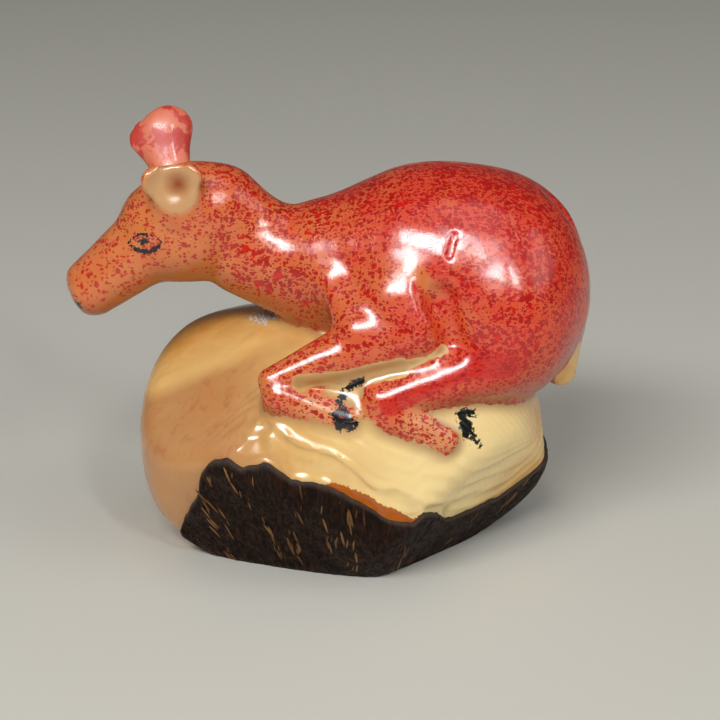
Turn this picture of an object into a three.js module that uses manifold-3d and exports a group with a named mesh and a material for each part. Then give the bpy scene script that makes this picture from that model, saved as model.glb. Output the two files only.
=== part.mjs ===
// A deer lying with folded legs, carved in one piece from a single tagua nut (vegetable ivory).
// Millimetres, +Z up, origin under the middle of the whole carving. The deer looks towards -X.
// The body, the ground it lies on and the seed coat left on the nut are one piece of one nut,
// so they are one closed solid. Its surface is the zero level of one blended distance field.
import * as THREE from 'three';
import { mergeVertices } from 'three/addons/utils/BufferGeometryUtils.js';
import Module from 'manifold-3d';

// Driving sizes
const carvingLength = 58;       // nose tip to rump
const nutLength = 46;           // the nut below the deer, along X
const nutWidth = 33.8;          // along Y
const nutHeight = 30;           // whole nut, before its underside is sanded flat
const nutOffset = 1.8;          // nut's middle from the carving's, along X
const nutSquareness = 2.6;      // 2 is an ellipsoid, larger is boxier
const sandedDepth = 2.6;        // taken off the bottom of the nut, which leaves the foot
const nutMiddle = [nutOffset, 0, nutHeight / 2 - sandedDepth];
const coatThickness = 0.5;      // dark seed coat left round the lower part of the nut
const carvedSlope = 0.1;        // how fast the carved flesh falls back above the coat
const deerToNutBlend = 1.5;
const fineStep = 1.0;           // lattice step at the ears, face and feet
const broadStep = 1.8;          // lattice step on the plain masses
const latticeMargin = 2.6;      // empty lattice kept round the carving
const grazing = 0.1;            // lattice points this near the foot's plane are dropped below it
const centring = [-0.17, 0.02, 0];       // brings the middle of the carving's bounds onto the origin
const wholeLobeX = -16;         // the lobe under the head keeps its round as far back as this
const lobeFade = 10;            // over which the flesh starts to fall back behind the lobe
const fallBackHeight = 10;      // the flesh falls back over this height above the coat
const coatTopEdge = 0.2;        // softness of the coat's cut edge
const coatFoot = 0.15;          // softness of the line where the flesh meets the coat
const settleRounds = 3;         // moves that bring a vertex onto the surface
const longestMove = 0.35;       // of each of those moves
const slopeStep = 0.05;         // apart, for the slope of the distance field
const cellMargin = 0.04;        // a vertex keeps this far inside its lattice cell
const barelyInside = 0.001;     // depth given to a lattice node that is taken inside

// The deer's pose: hundredths of the carving's length. An egg has a middle and three radii.
// A taper runs from one ball to another. A leaf is a taper pressed flat across `side`.
const share = carvingLength / 100;
const poseHalfLength = 50;      // hundredths, that hold the whole pose from its middle
const poseHalfWidth = 27;
const poseTop = 84;
const masses = {
  haunch: { kind: 'egg', at: [29.8, -4.1, 50.7], radii: [18.8, 16.2, 21.4], blend: 0, twin: true },
  trunk: { kind: 'taper', at: [18.1, 0, 56.2], to: [3.4, 0, 55.3], radii: [17.8, 12.6], blend: 6 },
  neck: {
    kind: 'taper', at: [1.6, 0, 54], to: [-15.2, -0.5, 57.9], radii: [12.2, 8.4], flat: 0.9,
    blend: 3.4,
  },
  nape: {
    kind: 'taper', at: [-18.3, -0.3, 67.2], to: [-11.4, -0.2, 61], radii: [6.4, 6.2], blend: 2.4,
  },
  skull: {
    kind: 'egg', at: [-24.5, -1, 65.2], radii: [11, 8.6, 9.8], up: [-0.25, 0, 1],
    side: [0, 1, 0], blend: 2.8,
  },
  jaw: { kind: 'egg', at: [-26.2, -1.2, 60.7], radii: [9, 8.1, 8.3], blend: 2.6 },
  muzzle: {
    kind: 'taper', at: [-31.4, -1.6, 60.9], to: [-43.4, -2.9, 51.7], radii: [7.4, 5.6],
    flat: 0.92, blend: 2.8,
  },
  brow: { kind: 'egg', at: [-31.4, -1.6, 64.5], radii: [5.9, 6.2, 5.9], blend: 2.6 },
  upperArm: {
    kind: 'egg', at: [13.8, -10.2, 52.6], radii: [11.4, 11.2, 9.5], up: [-0.3, 0, 1],
    side: [0, 1, 0], blend: 2.8, twin: true,
  },
  shoulderRidge: {
    kind: 'taper', at: [1.4, -10.9, 54.8], to: [5.9, -18.4, 49], radii: [3.3, 3.6], blend: 3.1,
    twin: true,
  },
  forearm: {
    kind: 'taper', at: [16, -15.9, 48.3], to: [-9.8, -21, 40.2], radii: [7.1, 2.4], blend: 2.2,
    twin: true,
  },
  foreFoot: {
    kind: 'taper', at: [-8.3, -21.9, 37.6], to: [3.8, -23.4, 33.8], radii: [3.3, 2.2],
    blend: 1.2, twin: true,
  },
  thigh: {
    kind: 'egg', at: [32.4, -10.7, 48.3], radii: [12.4, 11.9, 15.9], blend: 2.6, twin: true,
  },
  shank: {
    kind: 'taper', at: [29.3, -16.6, 41.7], to: [10.2, -22.1, 36.9], radii: [6.4, 3.3],
    blend: 2.8, twin: true,
  },
  hindFoot: {
    kind: 'taper', at: [11.7, -22.8, 34.3], to: [21.4, -23.6, 29.5], radii: [3.3, 2.1],
    blend: 1.2, twin: true,
  },
  tail: {
    kind: 'taper', at: [44.7, 0, 43.1], to: [44.3, 0, 34.3], radii: [3.8, 3.3], flat: 1.5,
    blend: 1.7,
  },
  nearEarRoot: {
    kind: 'taper', at: [-26.9, -5.9, 68.3], to: [-27.1, -7.9, 72.2], radii: [4.3, 3.8],
    blend: 2.2,
  },
  nearEar: {
    kind: 'leaf', at: [-26.9, -8.6, 71.4], to: [-27.4, -9.7, 74], radii: [3.8, 4.7],
    side: [-0.12, -0.93, 0.33], flat: 0.45, blend: 1.6,
  },
  nearEarTip: {
    kind: 'leaf', at: [-30.3, -9.7, 73.8], to: [-24.3, -9.3, 75.2], radii: [2.6, 1.9],
    side: [-0.12, -0.93, 0.33], flat: 0.8, blend: 1.4,
  },
  farEar: {
    kind: 'leaf', at: [-29, 5.9, 70], to: [-29.5, 10.2, 78.4], radii: [2.4, 4.5],
    side: [-0.2, 0.95, -0.1], flat: 0.5, blend: 1.6,
  },
  farEarTip: {
    kind: 'leaf', at: [-29.1, 6.7, 71.4], to: [-33.8, 9.8, 76.6], radii: [2.9, 3.4],
    side: [-0.2, 0.95, -0.1], flat: 0.5, blend: 1.6,
  },
};
const hollows = {
  flankTop: {
    kind: 'taper', at: [16, -20.9, 60.9], to: [20.5, -20.3, 55.2], radii: [0.5, 1.6], blend: 3.1,
    twin: true,
  },
  flankLow: {
    kind: 'taper', at: [20.5, -20.2, 55.2], to: [22.9, -21, 47.6], radii: [1.6, 1.4], blend: 3.3,
    twin: true,
  },
  chestHollow: {
    kind: 'taper', at: [-3.3, -15.3, 54.1], to: [-0.7, -15, 50], radii: [1, 1], blend: 3.1,
    twin: true,
  },
  rumpCleft: {
    kind: 'taper', at: [42.2, 0, 69.8], to: [50.5, 0, 48.3], radii: [0.5, 1.4], blend: 3.4,
  },
  nearEarBowl: {
    kind: 'egg', at: [-27.2, -12.6, 72.8], radii: [5, 3.4, 5.5], up: [0.32, 0.28, 1],
    side: [-0.12, -0.93, 0.33], blend: 1.6,
  },
  farEarBowl: {
    kind: 'egg', at: [-31.7, 13.4, 76.6], radii: [5, 3.4, 5.2], up: [-0.45, 0.62, 0.95],
    side: [-0.2, 0.95, -0.1], blend: 1.2,
  },
};
const noseCut = { normal: [-0.93, -0.15, -0.38], reach: 25.7, blend: 2.1 };

// Knife facets on the nut: outward normal, distance from the origin and softness of the edge, mm
const nutFacets = [
  { normal: [-0.28, -0.85, -0.45], reach: 9.7, blend: 1.2 },
  { normal: [0.572, -0.61, -0.549], reach: 10.8, blend: 1.2 },
];
const topFacet = { normal: [-0.5, -0.42, 0.8], reach: 23.7, blend: 1.6 };
const legWeb = { at: [4.6, -7.4, 21.6], radii: [9, 5.4, 4.2], blend: 1.5 };      // between folded legs
const rearScoop = { at: [27, -15, 17.5], radii: [9, 6, 6], blend: 1.5 };

// Upper edge of the seed coat, with its bites: [bearing round the nut in degrees, height in mm]
const coatEdge = [
  [-180, -6], [-166, -3], [-160, 2], [-155, 4.2], [-147, 7.8], [-142, 10], [-137, 13.3],
  [-133, 15.1], [-129, 15.6], [-124, 14.6], [-117, 15.5], [-113, 15], [-108, 13.7], [-101, 13.6],
  [-95, 13.2], [-87, 11.7], [-81, 10.5], [-75, 9.3], [-70, 8.8], [-64, 7.9], [-61, 9.2],
  [-53, 8.2], [-43, 6.1], [-28, 5.9], [-17, 6.1], [-12, 7.8], [-8, 9.4], [4, 10.5], [22, 9.8],
  [38, 11.4], [58, 10.6], [75, 12], [92, 11.2], [108, 11.8], [124, 9], [140, 6], [160, -2],
  [180, -6],
];

const clamp = THREE.MathUtils.clamp;
const length3 = (v) => Math.hypot(v[0], v[1], v[2]);
const dot3 = (a, b) => a[0] * b[0] + a[1] * b[1] + a[2] * b[2];
const minus3 = (a, b) => [a[0] - b[0], a[1] - b[1], a[2] - b[2]];
const unit3 = (v) => v.map((c) => c / length3(v));
const cross3 = (a, b) => [
  a[1] * b[2] - a[2] * b[1],
  a[2] * b[0] - a[0] * b[2],
  a[0] * b[1] - a[1] * b[0],
];

function blendedMin(a, b, width) {
  if (width <= 0) return Math.min(a, b);
  const h = clamp(0.5 + (0.5 * (b - a)) / width, 0, 1);
  return b + (a - b) * h - width * h * (1 - h);
}

function blendedMax(a, b, width) {
  return -blendedMin(-a, -b, width);
}

function eggDistance(q, radii) {
  const k0 = Math.hypot(q[0] / radii[0], q[1] / radii[1], q[2] / radii[2]);
  const k1 = Math.hypot(q[0] / radii[0] ** 2, q[1] / radii[1] ** 2, q[2] / radii[2] ** 2) + 1e-9;
  return (k0 * (k0 - 1)) / k1;
}

// Ball of radius ra at a, ball of radius rb at b and the cone that touches both
function taperDistance(p, a, b, ra, rb) {
  const axis = minus3(b, a);
  const span = length3(axis);
  const pa = minus3(p, a);
  const along = dot3(pa, axis) / span;
  const away = Math.sqrt(Math.max(dot3(pa, pa) - along * along, 0));
  const lean = (ra - rb) / span;
  const level = Math.sqrt(1 - lean * lean);
  const side = level * along - lean * away;
  if (side < 0) return Math.hypot(away, along) - ra;
  if (side > level * span) return Math.hypot(away, along - span) - rb;
  return level * away + lean * along - ra;
}

function pressedTaper(p, a, b, ra, rb, flat) {
  const press = (v) => [v[0], v[1] / flat, v[2]];
  return taperDistance(press(p), press(a), press(b), ra, rb) * Math.min(flat, 1);
}

// Rows of a turned frame: across, along `side`, along `up`
function turnedFrame(up, side) {
  const top = unit3(up);
  const out = unit3(minus3(side, top.map((c) => c * dot3(side, top))));
  return [cross3(top, out), out, top];
}

// A mass or hollow of the table above, in mm, with its frame worked out once
function readied(entry) {
  const inMm = (list) => list && list.map((c) => c * share);
  const ready = { ...entry, at: inMm(entry.at), to: inMm(entry.to), radii: inMm(entry.radii) };
  ready.blend = entry.blend * share;
  const up = entry.kind === 'leaf' ? minus3(ready.to, ready.at) : entry.up;
  if (up) ready.frame = turnedFrame(up, entry.side);
  return ready;
}

function distanceTo(entry, p) {
  const { kind, at, to, radii, frame, flat = 1 } = entry;
  if (kind === 'taper') return pressedTaper(p, at, to, radii[0], radii[1], flat);
  let q = minus3(p, at);
  if (frame) q = frame.map((row) => dot3(row, q));
  if (kind === 'egg') return eggDistance(q, radii);
  return pressedTaper(q, [0, 0, 0], [0, 0, length3(minus3(to, at))], radii[0], radii[1], flat);
}

function beyondPlane(p, plane, reach) {
  return dot3(p, unit3(plane.normal)) - reach;
}

const readyMasses = Object.values(masses).map(readied);
const readyHollows = Object.values(hollows).map(readied);
const twinBlend = 5.2 * share;      // softness of the join between the left and right of a pair

function deerDistance(p) {
  const mirrored = [p[0], -p[1], p[2]];
  let d = Infinity;
  for (const mass of readyMasses) {
    let part = distanceTo(mass, p);
    if (mass.twin) part = blendedMin(part, distanceTo(mass, mirrored), twinBlend);
    d = d === Infinity ? part : blendedMin(d, part, mass.blend);
  }
  for (const hollow of readyHollows) {
    let part = distanceTo(hollow, p);
    if (hollow.twin) part = Math.min(part, distanceTo(hollow, mirrored));
    d = blendedMax(d, -part, hollow.blend);
  }
  return blendedMax(d, beyondPlane(p, noseCut, noseCut.reach * share), noseCut.blend * share);
}

// Boxy egg: |x|^n + |y|^n + |z|^n = 1 along its three radii
function wholeNutDistance(p) {
  const radii = [nutLength / 2, nutWidth / 2, nutHeight / 2];
  const q = minus3(p, nutMiddle).map((c, i) => Math.abs(c / radii[i]) + 1e-9);
  const sum = q.reduce((total, c) => total + c ** nutSquareness, 0);
  const slope = q.map((c, i) => (c ** (nutSquareness - 1) / radii[i]) * sum ** (1 / nutSquareness - 1));
  let d = (sum ** (1 / nutSquareness) - 1) / length3(slope);
  for (const facet of nutFacets) d = blendedMax(d, beyondPlane(p, facet, facet.reach), facet.blend);
  return d;
}

function coatEdgeHeight(p) {
  const bearing = THREE.MathUtils.radToDeg(Math.atan2(p[1], p[0] - nutMiddle[0]));
  let i = 1;
  while (i < coatEdge.length - 1 && coatEdge[i][0] < bearing) i += 1;
  const [[fromBearing, fromHeight], [toBearing, toHeight]] = [coatEdge[i - 1], coatEdge[i]];
  return THREE.MathUtils.mapLinear(bearing, fromBearing, toBearing, fromHeight, toHeight);
}

function nutDistance(p) {
  const whole = wholeNutDistance(p);
  const aboveCoat = p[2] - coatEdgeHeight(p);
  const behindLobe = clamp((p[0] - wholeLobeX) / lobeFade, 0, 1);
  const fallBack = clamp(aboveCoat, 0, fallBackHeight) * carvedSlope * behindLobe;
  const flesh = whole + coatThickness + fallBack;
  let d = blendedMin(flesh, blendedMax(whole, aboveCoat, coatTopEdge), coatFoot);
  const nearSide = [p[0], -Math.abs(p[1]), p[2]];
  d = blendedMin(d, eggDistance(minus3(nearSide, legWeb.at), legWeb.radii), legWeb.blend);
  d = blendedMax(d, beyondPlane(p, topFacet, topFacet.reach), topFacet.blend);
  return blendedMax(d, -eggDistance(minus3(p, rearScoop.at), rearScoop.radii), rearScoop.blend);
}

function carvingDistance(p) {
  return blendedMin(deerDistance(p), nutDistance(p), deerToNutBlend);
}

// Lattice positions along one axis, closer together inside the fine spans
function ruler(from, to, ...fineSpans) {
  const marks = [from];
  while (marks[marks.length - 1] < to) {
    const last = marks[marks.length - 1];
    const fine = fineSpans.some(([start, end]) => last >= start && last < end);
    marks.push(last + (fine ? fineStep : broadStep));
  }
  return marks;
}

// Corners of a lattice cell, each opposite the one as far from the list's other end, and its edges
const corners = [
  [0, 0, 0], [1, 0, 0], [0, 1, 0], [1, 1, 0], [0, 0, 1], [1, 0, 1], [0, 1, 1], [1, 1, 1],
];
const edges = [
  [0, 1], [2, 3], [4, 5], [6, 7], [0, 2], [1, 3], [4, 6], [5, 7], [0, 4], [1, 5], [2, 6], [3, 7],
];

// Wherever the signs round a cell face, or at opposite corners of a cell, would let two sheets
// of surface meet in one cell, the outside node nearest the surface is taken inside
function untangle(values, [nx, ny]) {
  const steps = [1, nx, nx * ny];
  const inside = (n) => values[n] < 0;
  const fillNearest = (nodes) => {
    const empty = nodes.filter((n) => !inside(n));
    values[empty.reduce((best, n) => (values[n] < values[best] ? n : best))] = -barelyInside;
  };
  let changed = true;
  while (changed) {
    changed = false;
    for (let n = 0; n < values.length - steps[0] - steps[1] - steps[2]; n += 1) {
      for (let axis = 0; axis < 3; axis += 1) {
        const [u, w] = [steps[(axis + 1) % 3], steps[(axis + 2) % 3]];
        const face = [n, n + u, n + u + w, n + w];
        const crossed = inside(face[0]) !== inside(face[1]) && inside(face[0]) === inside(face[2]);
        if (crossed && inside(face[1]) === inside(face[3])) {
          fillNearest(face);
          changed = true;
        }
      }
      const cell = corners.map(([i, j, k]) => n + steps[0] * i + steps[1] * j + steps[2] * k);
      const count = cell.filter(inside).length;
      if (count !== 2 && count !== 6) continue;
      const lonely = cell.filter((corner) => inside(corner) === (count === 2));
      if (cell.indexOf(lonely[0]) + cell.indexOf(lonely[1]) === cell.length - 1) {
        fillNearest(cell);
        changed = true;
      }
    }
  }
}

// One vertex in each lattice cell that the surface crosses, then one quad over each crossed edge
function surfaceOf(field, rulers) {
  const [nx, ny, nz] = rulers.map((marks) => marks.length);
  const node = (i, j, k) => (k * ny + j) * nx + i;
  const values = new Float64Array(nx * ny * nz);
  const place = (i, j, k) => [rulers[0][i], rulers[1][j], rulers[2][k]];
  for (let k = 0; k < nz; k += 1) {
    for (let j = 0; j < ny; j += 1) {
      for (let i = 0; i < nx; i += 1) values[node(i, j, k)] = field(place(i, j, k));
    }
  }
  untangle(values, [nx, ny]);
  const points = [];
  const cellPoint = new Map();
  for (let k = 0; k < nz - 1; k += 1) {
    for (let j = 0; j < ny - 1; j += 1) {
      for (let i = 0; i < nx - 1; i += 1) {
        const crossings = [];
        for (const [a, b] of edges) {
          const [ca, cb] = [corners[a], corners[b]];
          const va = values[node(i + ca[0], j + ca[1], k + ca[2])];
          const vb = values[node(i + cb[0], j + cb[1], k + cb[2])];
          if (va < 0 === vb < 0) continue;
          const pa = new THREE.Vector3(...place(i + ca[0], j + ca[1], k + ca[2]));
          const pb = new THREE.Vector3(...place(i + cb[0], j + cb[1], k + cb[2]));
          crossings.push(pa.lerp(pb, va / (va - vb)));
        }
        if (crossings.length === 0) continue;
        const middle = new THREE.Vector3();
        for (const crossing of crossings) middle.addScaledVector(crossing, 1 / crossings.length);
        cellPoint.set(node(i, j, k), points.length);
        points.push(settled(field, middle.toArray(), place(i, j, k), place(i + 1, j + 1, k + 1)));
      }
    }
  }
  const triangles = [];
  const axisSteps = [[1, 0, 0], [0, 1, 0], [0, 0, 1]];
  for (let k = 1; k < nz - 1; k += 1) {
    for (let j = 1; j < ny - 1; j += 1) {
      for (let i = 1; i < nx - 1; i += 1) {
        for (let axis = 0; axis < 3; axis += 1) {
          const [di, dj, dk] = axisSteps[axis];
          const inside = values[node(i, j, k)] < 0;
          if (inside === values[node(i + di, j + dj, k + dk)] < 0) continue;
          const [ui, uj, uk] = axisSteps[(axis + 1) % 3];
          const [wi, wj, wk] = axisSteps[(axis + 2) % 3];
          const quad = [
            node(i - ui - wi, j - uj - wj, k - uk - wk),
            node(i - wi, j - wj, k - wk),
            node(i, j, k),
            node(i - ui, j - uj, k - uk),
          ].map((cell) => cellPoint.get(cell));
          addQuad(field, points, triangles, inside ? quad : quad.reverse());
        }
      }
    }
  }
  return { points, triangles };
}

// A point moved down the field's slope until it lies on the surface, inside its own cell
function settled(field, start, low, high) {
  const p = [...start];
  for (let round = 0; round < settleRounds; round += 1) {
    const value = field(p);
    const slope = [0, 1, 2].map((axis) => {
      const q = [...p];
      q[axis] += slopeStep;
      return (field(q) - value) / slopeStep;
    });
    const steepness = Math.max(dot3(slope, slope), 0.2);
    const move = clamp(value / steepness, -longestMove, longestMove);
    for (let axis = 0; axis < 3; axis += 1) p[axis] -= move * slope[axis];
  }
  return p.map((c, axis) => clamp(c, low[axis] + cellMargin, high[axis] - cellMargin));
}

// The quad is split along the diagonal that lies closer to the surface
function addQuad(field, points, triangles, [a, b, c, d]) {
  const off = (m, n) => Math.abs(field(points[m].map((x, axis) => (x + points[n][axis]) / 2)));
  if (off(a, c) <= off(b, d)) triangles.push([a, b, c], [a, c, d]);
  else triangles.push([a, b, d], [b, c, d]);
}

const wasm = await Module();
wasm.setup();

function toManifold(geometry) {
  geometry.deleteAttribute('normal');
  geometry.deleteAttribute('uv');
  const welded = mergeVertices(geometry, 1e-5);
  return new wasm.Manifold(new wasm.Mesh({
    numProp: 3,
    vertProperties: new Float32Array(welded.attributes.position.array),
    triVerts: new Uint32Array(welded.index.array),
  }));
}

function toGeometry(solid) {
  const mesh = solid.getMesh();
  const geometry = new THREE.BufferGeometry();
  geometry.setAttribute('position', new THREE.Float32BufferAttribute(mesh.vertProperties, 3));
  geometry.setIndex(Array.from(mesh.triVerts));
  geometry.computeVertexNormals();
  return geometry;
}

const inMm = (spans) => spans.map((span) => span.map((c) => c * share));
const reachX = Math.max(poseHalfLength * share, nutLength / 2 + nutOffset) + latticeMargin;
const reachY = Math.max(poseHalfWidth * share, nutWidth / 2) + latticeMargin;
const topZ = poseTop * share + latticeMargin;
const rulers = [
  ruler(-reachX, reachX, ...inMm([[-54, -19]])),       // fine along the head
  ruler(-reachY, reachY, ...inMm([[-28, -5], [5, 16]])),       // the near legs and both ears
  ruler(-sandedDepth - latticeMargin, topZ, ...inMm([[31, 43], [65, 88]])),       // feet and ears
];
const { points, triangles } = surfaceOf(carvingDistance, rulers);
for (const point of points) {
  if (Math.abs(point[2]) < grazing) point[2] = -grazing;      // leaves no sliver where the foot is cut
}
const carvedGeometry = new THREE.BufferGeometry();
carvedGeometry.setAttribute('position', new THREE.Float32BufferAttribute(points.flat(), 3));
carvedGeometry.setIndex(triangles.flat());

// The underside is sanded to a true plane, which is the foot the carving stands on
const sandedOff = new THREE.BoxGeometry(nutLength * 2, nutWidth * 2, sandedDepth * 4);
sandedOff.translate(0, 0, -sandedDepth * 2);
const carving = toManifold(carvedGeometry).subtract(toManifold(sandedOff));

const group = new THREE.Group();
group.name = 'tagua_deer';
const tagua = new THREE.MeshStandardMaterial({ color: 0xd8955f, roughness: 0.25, metalness: 0 });
const deerCarving = new THREE.Mesh(toGeometry(carving).translate(...centring), tagua);
deerCarving.name = 'deer_carving';
group.add(deerCarving);

export default group;
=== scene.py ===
import math
import bpy
import numpy as np
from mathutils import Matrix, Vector


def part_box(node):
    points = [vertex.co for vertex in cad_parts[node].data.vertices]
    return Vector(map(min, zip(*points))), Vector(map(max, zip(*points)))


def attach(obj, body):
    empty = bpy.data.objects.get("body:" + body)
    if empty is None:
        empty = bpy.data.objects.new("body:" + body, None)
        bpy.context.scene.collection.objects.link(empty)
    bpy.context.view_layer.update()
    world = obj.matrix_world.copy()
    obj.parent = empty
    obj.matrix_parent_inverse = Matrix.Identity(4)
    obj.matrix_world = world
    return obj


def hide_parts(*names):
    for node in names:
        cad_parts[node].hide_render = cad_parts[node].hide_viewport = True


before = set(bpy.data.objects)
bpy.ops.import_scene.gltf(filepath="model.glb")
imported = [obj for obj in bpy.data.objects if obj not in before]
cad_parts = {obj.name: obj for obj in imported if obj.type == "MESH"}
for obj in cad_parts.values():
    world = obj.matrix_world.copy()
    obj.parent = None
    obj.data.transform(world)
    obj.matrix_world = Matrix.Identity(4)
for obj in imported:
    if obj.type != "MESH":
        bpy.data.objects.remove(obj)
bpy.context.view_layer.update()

nodeLow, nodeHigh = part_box("deer_carving")

# Shapes below are in the carving's own millimetres, and turn into metres with the frame's box
shapedLength = 56.48      # nose to rump in those millimetres
metresPerMm = (nodeHigh.x - nodeLow.x) / shapedLength
centring = np.array([-0.17, 0.02, 0.0])      # the shaped figure's middle, moved onto the origin


# The distance field: how far a point lies outside the carving, in mm
carvingSizes = {
    "share": 0.58,      # one hundredth of the carving's length; the pose below is in these
    "nutLength": 46.0,
    "nutWidth": 33.8,
    "nutHeight": 30.0,
    "nutOffset": 1.8,
    "nutSquareness": 2.6,
    "sandedDepth": 2.6,
    "coatThickness": 0.5,
    "carvedSlope": 0.1,
    "deerToNutBlend": 1.5,
    "twinBlend": 5.2,
}

deerMasses = {
    "haunch": dict(kind="egg", at=(29.8, -4.1, 50.7), radii=(18.8, 16.2, 21.4), blend=0, twin=True),
    "trunk": dict(kind="taper", at=(18.1, 0, 56.2), to=(3.4, 0, 55.3), radii=(17.8, 12.6), blend=6),
    "neck": dict(
        kind="taper", at=(1.6, 0, 54), to=(-15.2, -0.5, 57.9), radii=(12.2, 8.4), flat=0.9,
        blend=3.4,
    ),
    "nape": dict(
        kind="taper", at=(-18.3, -0.3, 67.2), to=(-11.4, -0.2, 61), radii=(6.4, 6.2), blend=2.4,
    ),
    "skull": dict(
        kind="egg", at=(-24.5, -1, 65.2), radii=(11, 8.6, 9.8), up=(-0.25, 0, 1), side=(0, 1, 0),
        blend=2.8,
    ),
    "jaw": dict(kind="egg", at=(-26.2, -1.2, 60.7), radii=(9, 8.1, 8.3), blend=2.6),
    "muzzle": dict(
        kind="taper", at=(-31.4, -1.6, 60.9), to=(-43.4, -2.9, 51.7), radii=(7.4, 5.6),
        flat=0.92, blend=2.8,
    ),
    "brow": dict(kind="egg", at=(-31.4, -1.6, 64.5), radii=(5.9, 6.2, 5.9), blend=2.6),
    "upperArm": dict(
        kind="egg", at=(13.8, -10.2, 52.6), radii=(11.4, 11.2, 9.5), up=(-0.3, 0, 1),
        side=(0, 1, 0), blend=2.8, twin=True,
    ),
    "shoulderRidge": dict(
        kind="taper", at=(1.4, -10.9, 54.8), to=(5.9, -18.4, 49), radii=(3.3, 3.6), blend=3.1,
        twin=True,
    ),
    "forearm": dict(
        kind="taper", at=(16, -15.9, 48.3), to=(-9.8, -21, 40.2), radii=(7.1, 2.4), blend=2.2,
        twin=True,
    ),
    "foreFoot": dict(
        kind="taper", at=(-8.3, -21.9, 37.6), to=(3.8, -23.4, 33.8), radii=(3.3, 2.2), blend=1.2,
        twin=True,
    ),
    "thigh": dict(
        kind="egg", at=(32.4, -10.7, 48.3), radii=(12.4, 11.9, 15.9), blend=2.6, twin=True,
    ),
    "shank": dict(
        kind="taper", at=(29.3, -16.6, 41.7), to=(10.2, -22.1, 36.9), radii=(6.4, 3.3),
        blend=2.8, twin=True,
    ),
    "hindFoot": dict(
        kind="taper", at=(11.7, -22.8, 34.3), to=(21.4, -23.6, 29.5), radii=(3.3, 2.1),
        blend=1.2, twin=True,
    ),
    "tail": dict(
        kind="taper", at=(44.7, 0, 43.1), to=(44.3, 0, 34.3), radii=(3.8, 3.3), flat=1.5,
        blend=1.7,
    ),
    "nearEarRoot": dict(
        kind="taper", at=(-26.9, -5.9, 68.3), to=(-27.1, -7.9, 72.2), radii=(4.3, 3.8),
        blend=2.2,
    ),
    "nearEar": dict(
        kind="leaf", at=(-26.9, -8.6, 71.4), to=(-27.4, -9.7, 74), radii=(3.8, 4.7),
        side=(-0.12, -0.93, 0.33), flat=0.45, blend=1.6,
    ),
    "nearEarTip": dict(
        kind="leaf", at=(-30.3, -9.7, 73.8), to=(-24.3, -9.3, 75.2), radii=(2.6, 1.9),
        side=(-0.12, -0.93, 0.33), flat=0.8, blend=1.4,
    ),
    "farEar": dict(
        kind="leaf", at=(-29, 5.9, 70), to=(-29.5, 10.2, 78.4), radii=(2.4, 4.5),
        side=(-0.2, 0.95, -0.1), flat=0.5, blend=1.6,
    ),
    "farEarTip": dict(
        kind="leaf", at=(-29.1, 6.7, 71.4), to=(-33.8, 9.8, 76.6), radii=(2.9, 3.4),
        side=(-0.2, 0.95, -0.1), flat=0.5, blend=1.6,
    ),
}
deerHollows = {
    "flankTop": dict(
        kind="taper", at=(16, -20.9, 60.9), to=(20.5, -20.3, 55.2), radii=(0.5, 1.6), blend=3.1,
        twin=True,
    ),
    "flankLow": dict(
        kind="taper", at=(20.5, -20.2, 55.2), to=(22.9, -21, 47.6), radii=(1.6, 1.4), blend=3.3,
        twin=True,
    ),
    "chestHollow": dict(
        kind="taper", at=(-3.3, -15.3, 54.1), to=(-0.7, -15, 50), radii=(1, 1), blend=3.1,
        twin=True,
    ),
    "rumpCleft": dict(
        kind="taper", at=(42.2, 0, 69.8), to=(50.5, 0, 48.3), radii=(0.5, 1.4), blend=3.4,
    ),
    "nearEarBowl": dict(
        kind="egg", at=(-27.2, -12.6, 72.8), radii=(5, 3.4, 5.5), up=(0.32, 0.28, 1),
        side=(-0.12, -0.93, 0.33), blend=1.6,
    ),
    "farEarBowl": dict(
        kind="egg", at=(-31.7, 13.4, 76.6), radii=(5, 3.4, 5.2), up=(-0.45, 0.62, 0.95),
        side=(-0.2, 0.95, -0.1), blend=1.2,
    ),
}
noseCut = dict(normal=(-0.93, -0.15, -0.38), reach=25.7, blend=2.1)

# The nut: knife facets in mm, and the coat's upper edge as bearing in degrees and height in mm
nutFacets = [
    dict(normal=(-0.28, -0.85, -0.45), reach=9.7, blend=1.2),
    dict(normal=(0.572, -0.61, -0.549), reach=10.8, blend=1.2),
]
topFacet = dict(normal=(-0.5, -0.42, 0.8), reach=23.7, blend=1.6)
legWeb = dict(at=(4.6, -7.4, 21.6), radii=(9, 5.4, 4.2), blend=1.5)      # between folded legs
rearScoop = dict(at=(27, -15, 17.5), radii=(9, 6, 6), blend=1.5)
coatEdge = [
    (-180, -6), (-166, -3), (-160, 2), (-155, 4.2), (-147, 7.8), (-142, 10),
    (-137, 13.3), (-133, 15.1), (-129, 15.6), (-124, 14.6), (-117, 15.5), (-113, 15),
    (-108, 13.7), (-101, 13.6), (-95, 13.2), (-87, 11.7), (-81, 10.5), (-75, 9.3),
    (-70, 8.8), (-64, 7.9), (-61, 9.2), (-53, 8.2), (-43, 6.1), (-28, 5.9),
    (-17, 6.1), (-12, 7.8), (-8, 9.4), (4, 10.5), (22, 9.8), (38, 11.4),
    (58, 10.6), (75, 12), (92, 11.2), (108, 11.8), (124, 9), (140, 6),
    (160, -2), (180, -6),
]
nutMiddleHeight = carvingSizes["nutHeight"] / 2 - carvingSizes["sandedDepth"]
nutMiddle = np.array([carvingSizes["nutOffset"], 0, nutMiddleHeight])



def unit(v):
    v = np.array(v, float)
    return v / np.linalg.norm(v)


def blendedMin(a, b, width):
    if width <= 0:
        return np.minimum(a, b)
    h = np.clip(0.5 + 0.5 * (b - a) / width, 0, 1)
    return b + (a - b) * h - width * h * (1 - h)


def blendedMax(a, b, width):
    return -blendedMin(-a, -b, width)


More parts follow.
